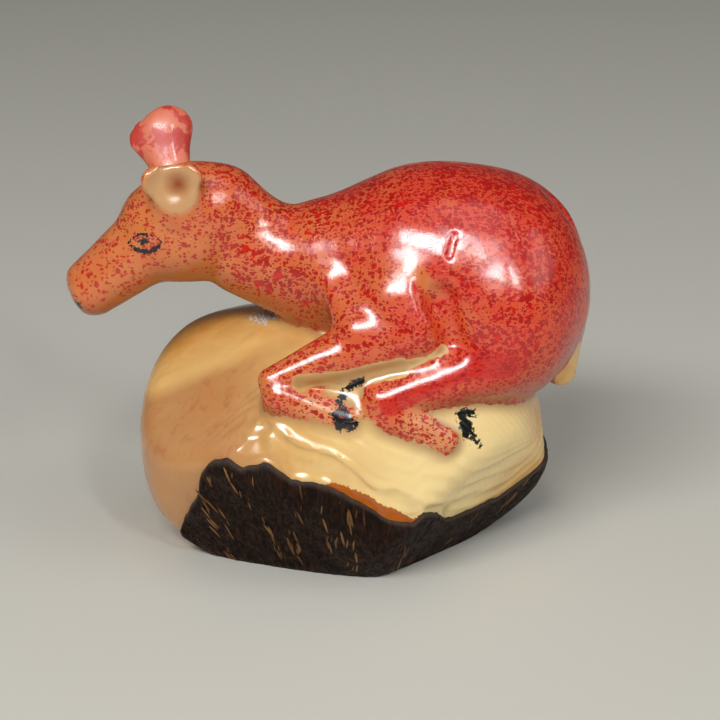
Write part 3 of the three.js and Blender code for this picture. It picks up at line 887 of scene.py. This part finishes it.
# A woody fibre: a low spindle lying along X, sunk half its height
def makeFibre():
    sizes = fibreSizes
    rings = [(-0.5, 0.1), (-0.3, 0.75), (0, 1.0), (0.32, 0.7), (0.5, 0.08)]
    points = []
    for along, width in rings:
        for angle in (0, 60, 120, 180, 270):
            a = math.radians(angle)
            points.append((along * sizes["length"], math.cos(a) * width * sizes["width"] / 2,
                           (math.sin(a) - 0.35) * width * sizes["height"]))
    faces = []
    for ring in range(len(rings) - 1):
        for i in range(5):
            a, b = ring * 5 + i, ring * 5 + (i + 1) % 5
            faces.append((a, b, b + 5, a + 5))
    faces.append(tuple(range(4, -1, -1)))
    faces.append(tuple(range(len(points) - 5, len(points))))
    return newPiece("fibreCopy", np.array(points) * metresPerMm, faces)


crumbSizes = {
    "middle": (-6.9, 0.9, 26.1),      # mm, in the hollow where the throat meets the nut
    "reach": 2.1,
    "size": 0.62,
    "perSquareMm": 16.0,
    "smallest": 0.3,
    "largest": 1.0,
    "seed": 5,
}


def makeCrumb():
    rough = []
    faces = [(0, 2, 4), (2, 1, 4), (1, 3, 4), (3, 0, 4), (2, 0, 5), (1, 2, 5), (3, 1, 5), (0, 3, 5)]
    for i, v in enumerate(((1, 0, 0), (-1, 0, 0), (0, 1, 0), (0, -1, 0), (0, 0, 0.8), (0, 0, -0.6))):
        rough.append(np.array(v) * crumbSizes["size"] / 2 * (1 + 0.2 * math.sin(i * 2.3)))
    return newPiece("crumbCopy", np.array(rough) * metresPerMm, faces)


def markCrumbPlace(carving):
    points = meshPoints(carving.data) / metresPerMm - centring
    away = np.linalg.norm(points - np.array(crumbSizes["middle"]), axis=1)
    storeValues(carving.data, "crumbHere", np.clip(1.4 - away / crumbSizes["reach"] * 1.4, 0, 1))


# Shader helpers
def colour(red, green, blue):
    def linear(c):
        c = c / 255
        return c / 12.92 if c <= 0.04045 else ((c + 0.055) / 1.055) ** 2.4
    return (linear(red), linear(green), linear(blue), 1)


def feed(tree, value, socket):
    if hasattr(value, "is_output"):
        tree.links.new(value, socket)
    else:
        socket.default_value = value


def mathOf(tree, operation, a, b=0.0, clamped=False):
    node = tree.nodes.new("ShaderNodeMath")
    node.operation = operation
    node.use_clamp = clamped
    feed(tree, a, node.inputs[0])
    feed(tree, b, node.inputs[1])
    return node.outputs[0]


def mapRange(tree, value, fromLow, fromHigh, toLow=0.0, toHigh=1.0):
    node = tree.nodes.new("ShaderNodeMapRange")
    node.interpolation_type = "SMOOTHSTEP"
    for socketName, given in (("Value", value), ("From Min", fromLow), ("From Max", fromHigh),
                              ("To Min", toLow), ("To Max", toHigh)):
        feed(tree, given, node.inputs[socketName])
    return node.outputs["Result"]


def mixColours(tree, factor, a, b, blend="MIX"):
    node = tree.nodes.new("ShaderNodeMix")
    node.data_type = "RGBA"
    node.blend_type = blend
    feed(tree, factor, node.inputs["Factor"])
    feed(tree, a, node.inputs["A"])
    feed(tree, b, node.inputs["B"])
    return node.outputs["Result"]


def noiseOf(tree, vector, scale, detail=2.0, rough=0.5, warp=0.0):
    node = tree.nodes.new("ShaderNodeTexNoise")
    feed(tree, vector, node.inputs["Vector"])
    node.inputs["Scale"].default_value = scale
    node.inputs["Detail"].default_value = detail
    node.inputs["Roughness"].default_value = rough
    node.inputs["Distortion"].default_value = warp
    return node.outputs["Fac"]


def meshValue(tree, name):
    node = tree.nodes.new("ShaderNodeAttribute")
    node.attribute_name = name
    return node.outputs["Fac"]


# Object coordinates in the carving's millimetres
def mmCoordinates(tree, stretch=(1, 1, 1)):
    source = tree.nodes.new("ShaderNodeTexCoord")
    mapping = tree.nodes.new("ShaderNodeMapping")
    tree.links.new(source.outputs["Object"], mapping.inputs["Vector"])
    mapping.inputs["Scale"].default_value = [s / metresPerMm for s in stretch]
    return mapping.outputs["Vector"]


def newGroup(name, inputs, outputs):
    tree = bpy.data.node_groups.new(name, "ShaderNodeTree")
    for socketName, kind, default in inputs:
        socket = tree.interface.new_socket(socketName, in_out="INPUT", socket_type=kind)
        if default is not None:
            socket.default_value = default
    for socketName, kind in outputs:
        tree.interface.new_socket(socketName, in_out="OUTPUT", socket_type=kind)
    return tree, tree.nodes.new("NodeGroupInput"), tree.nodes.new("NodeGroupOutput")


def useGroup(tree, group, **values):
    node = tree.nodes.new("ShaderNodeGroup")
    node.node_tree = group
    for key, value in values.items():
        feed(tree, value, node.inputs[key])
    return node.outputs


# Fine rubbing marks and slow unevenness that every surface of the carving shares
def buildRubbedSurface():
    inputs = [("Vector", "NodeSocketVector", None), ("Grain", "NodeSocketFloat", 1.0),
              ("Drift", "NodeSocketFloat", 1.0)]
    outputs = [("Height", "NodeSocketFloat"), ("Shade", "NodeSocketFloat")]
    tree, entry, leave = newGroup("rubbedSurface", inputs, outputs)
    vector = entry.outputs["Vector"]
    fine = noiseOf(tree, vector, 9.0, 3.0, 0.6)
    pits = noiseOf(tree, vector, 3.2, 2.0, 0.5)
    pit = mapRange(tree, pits, 0.24, 0.34)
    grain = mathOf(tree, "MULTIPLY", fine, entry.outputs["Grain"])
    height = mathOf(tree, "ADD", grain, mathOf(tree, "MULTIPLY", pit, 0.6))
    slow = noiseOf(tree, vector, 0.22, 3.0, 0.55)
    shade = mathOf(tree, "MULTIPLY", mathOf(tree, "SUBTRACT", slow, 0.5), entry.outputs["Drift"])
    tree.links.new(height, leave.inputs["Height"])
    tree.links.new(shade, leave.inputs["Shade"])
    return tree


# Irregular flecks: each cell has one or none, more of them where Amount is higher
def buildFlecks():
    inputs = [("Vector", "NodeSocketVector", None), ("Per mm", "NodeSocketFloat", 1.0),
              ("Amount", "NodeSocketFloat", 0.5), ("Size", "NodeSocketFloat", 0.45)]
    outputs = [("Mask", "NodeSocketFloat"), ("Rim", "NodeSocketFloat")]
    tree, entry, leave = newGroup("flecks", inputs, outputs)
    vector = entry.outputs["Vector"]
    warp = tree.nodes.new("ShaderNodeTexNoise")
    tree.links.new(vector, warp.inputs["Vector"])
    warp.inputs["Scale"].default_value = 2.2
    warp.inputs["Detail"].default_value = 0.6
    moved = tree.nodes.new("ShaderNodeVectorMath")
    moved.operation = "MULTIPLY_ADD"
    tree.links.new(warp.outputs["Color"], moved.inputs[0])
    moved.inputs[1].default_value = (0.42, 0.42, 0.42)
    tree.links.new(vector, moved.inputs[2])
    cells = tree.nodes.new("ShaderNodeTexVoronoi")
    cells.feature = "F1"
    tree.links.new(moved.outputs[0], cells.inputs["Vector"])
    tree.links.new(entry.outputs["Per mm"], cells.inputs["Scale"])
    apart = tree.nodes.new("ShaderNodeSeparateColor")
    tree.links.new(cells.outputs["Color"], apart.inputs["Color"])
    chosen = mathOf(tree, "LESS_THAN", apart.outputs["Red"], entry.outputs["Amount"])
    own = mathOf(tree, "MULTIPLY_ADD", apart.outputs["Green"], 0.65)
    tree.nodes[-1].inputs[2].default_value = 0.45
    radius = mathOf(tree, "MULTIPLY", own, entry.outputs["Size"])
    inner = mathOf(tree, "SUBTRACT", radius, 0.06)
    blot = mapRange(tree, cells.outputs["Distance"], radius, inner)
    tree.links.new(mathOf(tree, "MULTIPLY", blot, chosen), leave.inputs["Mask"])
    core = mathOf(tree, "MULTIPLY", radius, 0.55)
    tree.links.new(mapRange(tree, cells.outputs["Distance"], core, radius), leave.inputs["Rim"])
    return tree


def newMaterial(name):
    material = bpy.data.materials.new(name)
    material.use_nodes = True
    tree = material.node_tree
    tree.nodes.clear()
    shader = tree.nodes.new("ShaderNodeBsdfPrincipled")
    output = tree.nodes.new("ShaderNodeOutputMaterial")
    tree.links.new(shader.outputs["BSDF"], output.inputs["Surface"])
    return material, tree, shader


def bumpFrom(tree, height, distance, strength):
    bump = tree.nodes.new("ShaderNodeBump")
    bump.inputs["Strength"].default_value = strength
    bump.inputs["Distance"].default_value = distance * metresPerMm
    tree.links.new(height, bump.inputs["Height"])
    return bump.outputs["Normal"]


taguaFinish = {
    "cream": colour(238, 198, 124),
    "creamDeep": colour(216, 150, 76),
    "creamPaintedLight": colour(252, 222, 156),
    "lobe": colour(196, 136, 84),
    "lobeRed": colour(176, 84, 58),
    "facetHighlight": colour(240, 192, 118),
    "facetDeep": colour(218, 146, 56),
    "facetFarShade": colour(150, 104, 56),
    "deerTan": colour(216, 124, 66),
    "deerCoral": colour(218, 70, 42),
    "deerPale": colour(220, 148, 94),
    "deerUnderShade": colour(164, 92, 36),
    "earPink": colour(224, 118, 86),
    "earRed": colour(200, 40, 28),
    "earSkin": colour(206, 158, 108),
    "fleck": colour(172, 0, 0),
    "fleckThin": colour(218, 4, 0),
    "smear": colour(206, 26, 14),
    "fleckFace": colour(196, 56, 34),
    "paint": colour(10, 10, 12),
    "amber": colour(176, 88, 0),
    "bowl": colour(150, 68, 14),
    "creaseShade": colour(158, 98, 48),
    "coatWeight": 0.22,
}


# The eye is a broken almond line round a small blot, both painted with a dry brush
def eyePaint(tree, fine):
    across = meshValue(tree, "eyeAcross")
    up = meshValue(tree, "eyeUp")
    wide = mathOf(tree, "DIVIDE", across, 1.8)
    lift = mathOf(tree, "SUBTRACT", 1.0, mathOf(tree, "POWER", mathOf(tree, "ABSOLUTE", wide), 2.5))
    almond = mathOf(tree, "SUBTRACT", mathOf(tree, "ABSOLUTE", up), mathOf(tree, "MULTIPLY", lift, 0.92))
    wobble = mathOf(tree, "MULTIPLY", fine, 0.9)
    off = mathOf(tree, "ABSOLUTE", mathOf(tree, "ADD", almond, wobble))
    lower = mapRange(tree, up, 0.1, -0.7, 0.15, 0.32)
    line = mapRange(tree, mathOf(tree, "SUBTRACT", off, lower), 0.03, -0.03)
    line = mathOf(tree, "MULTIPLY", line, mapRange(tree, mathOf(tree, "ABSOLUTE", across), 2.0, 1.95))
    dabs = noiseOf(tree, mmCoordinates(tree), 2.6, 1.0, 0.5)
    line = mathOf(tree, "MULTIPLY", line, mapRange(tree, dabs, 0.37, 0.4))
    blotAcross = mathOf(tree, "ADD", across, 0.1)
    blotUp = mathOf(tree, "MULTIPLY", mathOf(tree, "SUBTRACT", up, 0.2), 1.4)
    blot = mathOf(tree, "SQRT", mathOf(tree, "ADD", mathOf(tree, "MULTIPLY", blotAcross, blotAcross),
                                       mathOf(tree, "MULTIPLY", blotUp, blotUp)))
    blot = mapRange(tree, mathOf(tree, "ADD", blot, mathOf(tree, "MULTIPLY", fine, 2.0)), 0.56, 0.48)
    onSides = mapRange(tree, meshValue(tree, "eyeSide"), 0.0, 0.2)
    return mathOf(tree, "MULTIPLY", mathOf(tree, "MAXIMUM", line, blot), onSides)


# The nut's flesh: cream, with an orange facet on top, a pinkish lobe and an amber chip, and painted light
# and shade: a paler front right, a paler lower facet edge, a darker far facet edge, a darker lobe and
# darker creases
def fleshColour(tree, rubbed, fine):
    f = taguaFinish
    shade = mathOf(tree, "ADD", mathOf(tree, "MULTIPLY", rubbed["Shade"], 2.0), 0.3, True)
    flesh = mixColours(tree, shade, f["cream"], f["creamDeep"])
    # painted light: the front right of the nut paler
    flesh = mixColours(tree, meshValue(tree, "pale"), flesh, f["creamPaintedLight"])
    # painted highlight: the facet paler along its lower edge
    grained = noiseOf(tree, mmCoordinates(tree, (0.35, 1, 1)), 0.55, 3.0, 0.6, 0.4)
    deep = mathOf(tree, "ADD", meshValue(tree, "facetDepth"), mathOf(tree, "SUBTRACT", grained, 0.5), True)
    facet = mixColours(tree, deep, f["facetHighlight"], f["facetDeep"])
    # painted shade: the facet darker brown towards its far top
    atFarTop = mathOf(tree, "MULTIPLY", meshValue(tree, "farTop"), 0.85)
    facet = mixColours(tree, atFarTop, facet, f["facetFarShade"])
    flesh = mixColours(tree, meshValue(tree, "topFacet"), flesh, facet)
    # the left lobe: own pinkish tone with faint red streaks, its darker colour partly painted shade
    reddish = mapRange(tree, noiseOf(tree, mmCoordinates(tree, (1, 1, 0.3)), 0.8, 4.0, 0.7, 0.6), 0.5, 0.68)
    lobe = mixColours(tree, mathOf(tree, "MULTIPLY", reddish, 0.42), f["lobe"], f["lobeRed"])
    flesh = mixColours(tree, mathOf(tree, "MULTIPLY", meshValue(tree, "lobe"), 0.85), flesh, lobe)
    # painted shade: darker brown in the creases and the web between the legs
    flesh = mixColours(tree, mathOf(tree, "MULTIPLY", meshValue(tree, "shade"), 0.65), flesh, f["creaseShade"])
    chip = mathOf(tree, "ADD", meshValue(tree, "chip"), mathOf(tree, "MULTIPLY", fine, 0.7))
    return mixColours(tree, mapRange(tree, chip, 0.0, 0.12), flesh, f["amber"])


# The red stain: flecks in three sizes, smears and a wash, over tan, with painted shade on the surfaces that
# face down
def stainedColour(tree, groups, mm, rubbed, ragged):
    f = taguaFinish
    uneven = mathOf(tree, "MULTIPLY", rubbed["Shade"], 1.6)
    wash = mathOf(tree, "ADD", meshValue(tree, "wash"), uneven, True)
    base = mixColours(tree, wash, f["deerTan"], f["deerCoral"])
    base = mixColours(tree, mathOf(tree, "MULTIPLY", meshValue(tree, "paleFoot"), 0.8), base, f["deerPale"])
    # painted shade: darker brown on the surfaces that face down
    base = mixColours(tree, mathOf(tree, "MULTIPLY", meshValue(tree, "under"), 0.8), base, f["deerUnderShade"])
    patches = mathOf(tree, "MULTIPLY", mathOf(tree, "SUBTRACT", noiseOf(tree, mm, 0.4, 3.0, 0.6), 0.5), 1.5)
    amount = mathOf(tree, "ADD", meshValue(tree, "stain"), patches)
    long = mmCoordinates(tree, (0.8, 1, 1.15))
    small = useGroup(tree, groups["flecks"], Vector=long, **{"Per mm": 3.1, "Amount": amount, "Size": 0.6})
    rarer = mathOf(tree, "MULTIPLY", amount, 0.72)
    large = useGroup(tree, groups["flecks"], Vector=mm, **{"Per mm": 1.8, "Amount": rarer, "Size": 0.58})
    onChest = mathOf(tree, "MULTIPLY", meshValue(tree, "chest"), 0.42)
    blots = useGroup(tree, groups["flecks"], Vector=mm, **{"Per mm": 0.95, "Amount": onChest, "Size": 0.62})
    streaks = noiseOf(tree, mmCoordinates(tree, (0.8, 1, 1.5)), 1.6, 3.0, 0.62, 0.6)
    streakCut = mathOf(tree, "SUBTRACT", 0.95, mathOf(tree, "MULTIPLY", amount, 0.42))
    streaked = mapRange(tree, mathOf(tree, "SUBTRACT", streaks, streakCut), 0.0, 0.05)
    rub = mathOf(tree, "ADD", meshValue(tree, "smear"), mathOf(tree, "MULTIPLY", ragged, 0.5))
    smeared = mathOf(tree, "MULTIPLY", mapRange(tree, rub, 0.3, 0.8), 0.85)
    dots = mathOf(tree, "MAXIMUM", small["Mask"], mathOf(tree, "MAXIMUM", large["Mask"], blots["Mask"]))
    marks = mathOf(tree, "MAXIMUM", dots, streaked)
    rim = mathOf(tree, "MAXIMUM", mathOf(tree, "MULTIPLY", large["Mask"], large["Rim"]), blots["Rim"])
    patchy = mapRange(tree, noiseOf(tree, mm, 1.1, 1.0, 0.5), 0.4, 0.62)
    inside = mathOf(tree, "SUBTRACT", 1.0, mathOf(tree, "MULTIPLY", rim, 0.7), True)
    thin = mathOf(tree, "MULTIPLY", patchy, inside)
    ink = mixColours(tree, thin, f["fleck"], f["fleckThin"])
    ink = mixColours(tree, mathOf(tree, "MULTIPLY", meshValue(tree, "face"), 0.6), ink, f["fleckFace"])
    base = mixColours(tree, smeared, base, f["smear"])
    body = mixColours(tree, mathOf(tree, "MULTIPLY", marks, 0.95), base, ink)
    blotched = mapRange(tree, noiseOf(tree, mm, 0.42, 3.0, 0.62, 0.5), 0.46, 0.54)
    earBack = mixColours(tree, mathOf(tree, "MULTIPLY", blotched, 0.88), f["earPink"], f["earRed"])
    body = mixColours(tree, meshValue(tree, "farEar"), body, earBack)
    earFront = mixColours(tree, meshValue(tree, "bowl"), f["earSkin"], f["bowl"])
    return mixColours(tree, meshValue(tree, "earSkin"), body, earFront), marks


def makeTaguaMaterial(groups):
    f = taguaFinish
    material, tree, shader = newMaterial("polishedTagua")
    mm = mmCoordinates(tree)
    rubbed = useGroup(tree, groups["rubbed"], Vector=mm, Grain=0.45, Drift=1.0)
    fine = mathOf(tree, "SUBTRACT", noiseOf(tree, mm, 3.2, 2.0, 0.6), 0.5)
    ragged = mathOf(tree, "SUBTRACT", noiseOf(tree, mm, 1.3, 3.0, 0.6), 0.5)
    ragged = mathOf(tree, "MULTIPLY", ragged, 1.6)
    onDeer = mapRange(tree, mathOf(tree, "ADD", meshValue(tree, "deerEdge"), ragged), 0.05, -0.1)
    bare = mathOf(tree, "ADD", meshValue(tree, "bare"), mathOf(tree, "MULTIPLY", ragged, 0.4))
    bare = mapRange(tree, bare, 0.35, 0.6)
    onDeer = mathOf(tree, "MULTIPLY", onDeer, mathOf(tree, "SUBTRACT", 1.0, bare, True))
    flesh = fleshColour(tree, rubbed, fine)
    body, marks = stainedColour(tree, groups, mm, rubbed, ragged)
    skin = mixColours(tree, onDeer, flesh, body)

    # black paint: hoofs, eye and nostril
    dabs = mathOf(tree, "MULTIPLY", mathOf(tree, "SUBTRACT", noiseOf(tree, mm, 1.9, 4.0, 0.7), 0.5), 2.1)
    hoof = mapRange(tree, mathOf(tree, "ADD", meshValue(tree, "hoof"), dabs), 0.16, 0.06)
    smudged = mathOf(tree, "ADD", meshValue(tree, "nostril"), mathOf(tree, "MULTIPLY", fine, 1.6))
    nostril = mapRange(tree, smudged, 0.7, 0.6)
    black = mathOf(tree, "MAXIMUM", hoof, mathOf(tree, "MAXIMUM", eyePaint(tree, fine), nostril), True)
    tree.links.new(mixColours(tree, black, skin, f["paint"]), shader.inputs["Base Color"])

    rough = mathOf(tree, "ADD", mathOf(tree, "MULTIPLY", rubbed["Height"], 0.14), 0.1)
    rough = mathOf(tree, "ADD", rough, mathOf(tree, "MULTIPLY", meshValue(tree, "farEar"), 0.25))
    tree.links.new(rough, shader.inputs["Roughness"])
    ribs = tree.nodes.new("ShaderNodeTexWave")
    ribs.bands_direction = "DIAGONAL"
    ribs.inputs["Scale"].default_value = 0.55
    ribs.inputs["Distortion"].default_value = 1.2
    ribs.inputs["Detail Scale"].default_value = 0.3
    tree.links.new(mm, ribs.inputs["Vector"])
    ribStrength = mathOf(tree, "MULTIPLY", meshValue(tree, "ribs"), 1.5)
    ribbed = mathOf(tree, "MULTIPLY", ribs.outputs["Fac"], ribStrength)
    inked = mathOf(tree, "MULTIPLY", mathOf(tree, "MULTIPLY", marks, onDeer), 0.5)
    height = mathOf(tree, "ADD", rubbed["Height"], mathOf(tree, "ADD", ribbed, inked))
    tree.links.new(bumpFrom(tree, height, 0.03, 0.7), shader.inputs["Normal"])
    shader.inputs["IOR"].default_value = 1.54
    shader.inputs["Coat Weight"].default_value = f["coatWeight"]
    shader.inputs["Coat Roughness"].default_value = 0.1
    shader.inputs["Subsurface Weight"].default_value = 0.1
    shader.inputs["Subsurface Radius"].default_value = [3.0, 1.3, 0.6]
    shader.inputs["Subsurface Scale"].default_value = 0.45 * metresPerMm
    return material


coatFinish = {
    "dark": colour(20, 7, 2),
    "brown": colour(56, 28, 12),
    "tan": colour(160, 112, 58),
    "lip": colour(84, 72, 64),
}


def makeCoatMaterial(groups):
    f = coatFinish
    material, tree, shader = newMaterial("seedCoat")
    mm = mmCoordinates(tree)
    along = mmCoordinates(tree, (2.4, 2.4, 0.35))
    rubbed = useGroup(tree, groups["rubbed"], Vector=mm, Grain=1.0, Drift=1.4)
    streak = noiseOf(tree, along, 1.0, 4.0, 0.65, 0.4)
    brown = mixColours(tree, mapRange(tree, streak, 0.42, 0.7), f["dark"], f["brown"])
    pale = mapRange(tree, noiseOf(tree, along, 2.1, 3.0, 0.7, 0.8), 0.66, 0.74)
    brown = mixColours(tree, mathOf(tree, "MULTIPLY", pale, 0.7), brown, f["tan"])
    lip = mathOf(tree, "ADD", meshValue(tree, "lip"), mathOf(tree, "MULTIPLY", rubbed["Shade"], 0.6), True)
    skin = mixColours(tree, mathOf(tree, "MULTIPLY", lip, 0.75), brown, f["lip"])
    tree.links.new(skin, shader.inputs["Base Color"])
    rough = mapRange(tree, streak, 0.3, 0.7, 0.66, 0.36)
    tree.links.new(rough, shader.inputs["Roughness"])
    shader.inputs["Specular IOR Level"].default_value = 0.1
    grain = mathOf(tree, "MULTIPLY", rubbed["Height"], 0.4)
    height = mathOf(tree, "ADD", mathOf(tree, "MULTIPLY", streak, 1.4), grain)
    tree.links.new(bumpFrom(tree, height, 0.28, 0.9), shader.inputs["Normal"])
    return material


def makeFibreMaterial(groups):
    material, tree, shader = newMaterial("coatFibre")
    rubbed = useGroup(tree, groups["rubbed"], Vector=mmCoordinates(tree), Grain=1.0, Drift=2.6)
    blend = mathOf(tree, "ADD", rubbed["Shade"], 0.45, True)
    skin = mixColours(tree, blend, coatFinish["brown"], coatFinish["tan"])
    tree.links.new(skin, shader.inputs["Base Color"])
    tree.links.new(bumpFrom(tree, rubbed["Height"], 0.05, 0.5), shader.inputs["Normal"])
    shader.inputs["Roughness"].default_value = 0.6
    shader.inputs["Specular IOR Level"].default_value = 0.25
    return material


crumbFinish = {
    "grey": colour(176, 166, 160),
    "white": colour(222, 216, 212),
}


def makeCrumbMaterial(groups):
    material, tree, shader = newMaterial("polishCrumb")
    rubbed = useGroup(tree, groups["rubbed"], Vector=mmCoordinates(tree), Grain=1.0, Drift=1.5)
    blend = mathOf(tree, "ADD", rubbed["Shade"], 0.5, True)
    skin = mixColours(tree, blend, crumbFinish["grey"], crumbFinish["white"])
    tree.links.new(skin, shader.inputs["Base Color"])
    tree.links.new(bumpFrom(tree, rubbed["Height"], 0.05, 0.6), shader.inputs["Normal"])
    shader.inputs["Roughness"].default_value = 0.85
    return material


def dress(piece, material):
    piece.data.materials.clear()
    piece.data.materials.append(material)
    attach(piece, "root")


groups = {"rubbed": buildRubbedSurface(), "flecks": buildFlecks()}
carving = makeCarving()
markCrumbPlace(carving)
seedCoat = makeSeedCoat()
fibreMaterial = makeFibreMaterial(groups)
crumbMaterial = makeCrumbMaterial(groups)
fibres = scatterOver("coat_fibres", seedCoat, makeFibre(), "fibreHere", fibreMaterial, {
    "Per square metre": fibreSizes["perSquareMm"] / metresPerMm ** 2,
    "Smallest": fibreSizes["smallest"],
    "Largest": fibreSizes["largest"],
    "Swing": fibreSizes["swing"],
    "Seed": fibreSizes["seed"],
})
crumbs = scatterOver("polish_crumbs", carving, makeCrumb(), "crumbHere", crumbMaterial, {
    "Per square metre": crumbSizes["perSquareMm"] / metresPerMm ** 2,
    "Smallest": crumbSizes["smallest"],
    "Largest": crumbSizes["largest"],
    "Swing": math.pi,
    "Seed": crumbSizes["seed"],
})
dress(carving, makeTaguaMaterial(groups))
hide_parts("deer_carving")
dress(seedCoat, makeCoatMaterial(groups))
dress(fibres, fibreMaterial)
dress(crumbs, crumbMaterial)


# Floor, light and camera
stageSizes = {
    "floorSize": 4.0,      # metres
    "floorColour": colour(214, 212, 202),
    "worldStrength": 0.09,
}


def makeFloor():
    half = stageSizes["floorSize"] / 2
    corners = np.array([(-half, -half, 0), (half, -half, 0), (half, half, 0), (-half, half, 0)])
    floor = newPiece("floor", corners, [(0, 1, 2, 3)])
    material, tree, shader = newMaterial("paleFloor")
    shader.inputs["Base Color"].default_value = stageSizes["floorColour"]
    shader.inputs["Roughness"].default_value = 0.7
    floor.data.materials.append(material)


# Bearing 0 is the camera's side, and grows to the right; sizes in metres, power in watts
softboxes = {
    "window": dict(bearing=-22, height=43, away=0.5, width=0.3, tall=0.1, power=1.6),
    "strip": dict(bearing=25, height=38, away=0.5, width=0.035, tall=0.12, power=0.35),
    "sky": dict(bearing=45, height=74, away=0.7, width=0.4, tall=0.4, power=0.58),
    "side": dict(bearing=-100, height=35, away=0.6, width=0.3, tall=0.3, power=0.04),
    "right": dict(bearing=72, height=30, away=0.6, width=0.3, tall=0.3, power=0.5),
}

# Two more lamps are seen in the polish alone, since its glints are far brighter than the room
glints = {
    "windowGlint": dict(bearing=-16, height=43, away=0.49, width=0.32, tall=0.14, power=2.2),
    "stripGlint": dict(bearing=27, height=38, away=0.49, width=0.045, tall=0.14, power=0.4),
}


def makeLamp(name, box, glintOnly):
    light = bpy.data.lights.new(name, "AREA")
    light.shape = "RECTANGLE"
    light.size = box["width"]
    light.size_y = box["tall"]
    light.energy = box["power"]
    lamp = bpy.data.objects.new(name, light)
    b, h = math.radians(box["bearing"]), math.radians(box["height"])
    away = Vector((math.sin(b) * math.cos(h), -math.cos(b) * math.cos(h), math.sin(h)))
    lamp.location = Vector((0, 0, 0.025)) + away * box["away"]
    lamp.rotation_euler = away.to_track_quat("Z", "Y").to_euler()
    lamp.visible_diffuse = not glintOnly
    bpy.context.scene.collection.objects.link(lamp)


def makeLights():
    for name, box in softboxes.items():
        makeLamp(name, box, False)
    for name, box in glints.items():
        makeLamp(name, box, True)
    world = bpy.data.worlds.new("softRoom")
    world.use_nodes = True
    background = world.node_tree.nodes["Background"]
    background.inputs["Color"].default_value = (1, 0.98, 0.95, 1)
    background.inputs["Strength"].default_value = stageSizes["worldStrength"]
    bpy.context.scene.world = world


cameraPlace = {
    "elevation": 22.0,      # degrees
    "distance": 232.0,      # mm from the aim
    "aim": (3.6, 0.0, 20.7),      # mm
    "lens": 105.0,
}


def makeCamera():
    data = bpy.data.cameras.new("camera")
    data.lens = cameraPlace["lens"]
    data.sensor_width = 36
    data.clip_start = 0.01
    camera = bpy.data.objects.new("camera", data)
    e = math.radians(cameraPlace["elevation"])
    away = Vector((0, -math.cos(e), math.sin(e)))
    aim = Vector(toMetres(np.array([cameraPlace["aim"]]))[0])
    camera.location = aim + away * cameraPlace["distance"] * metresPerMm
    camera.rotation_euler = away.to_track_quat("Z", "Y").to_euler()
    bpy.context.scene.collection.objects.link(camera)
    bpy.context.scene.camera = camera


makeFloor()
makeLights()
makeCamera()
bpy.context.scene.view_settings.view_transform = "Standard"      # photographic contrast, full colours
print("stage, lights and camera are in place")
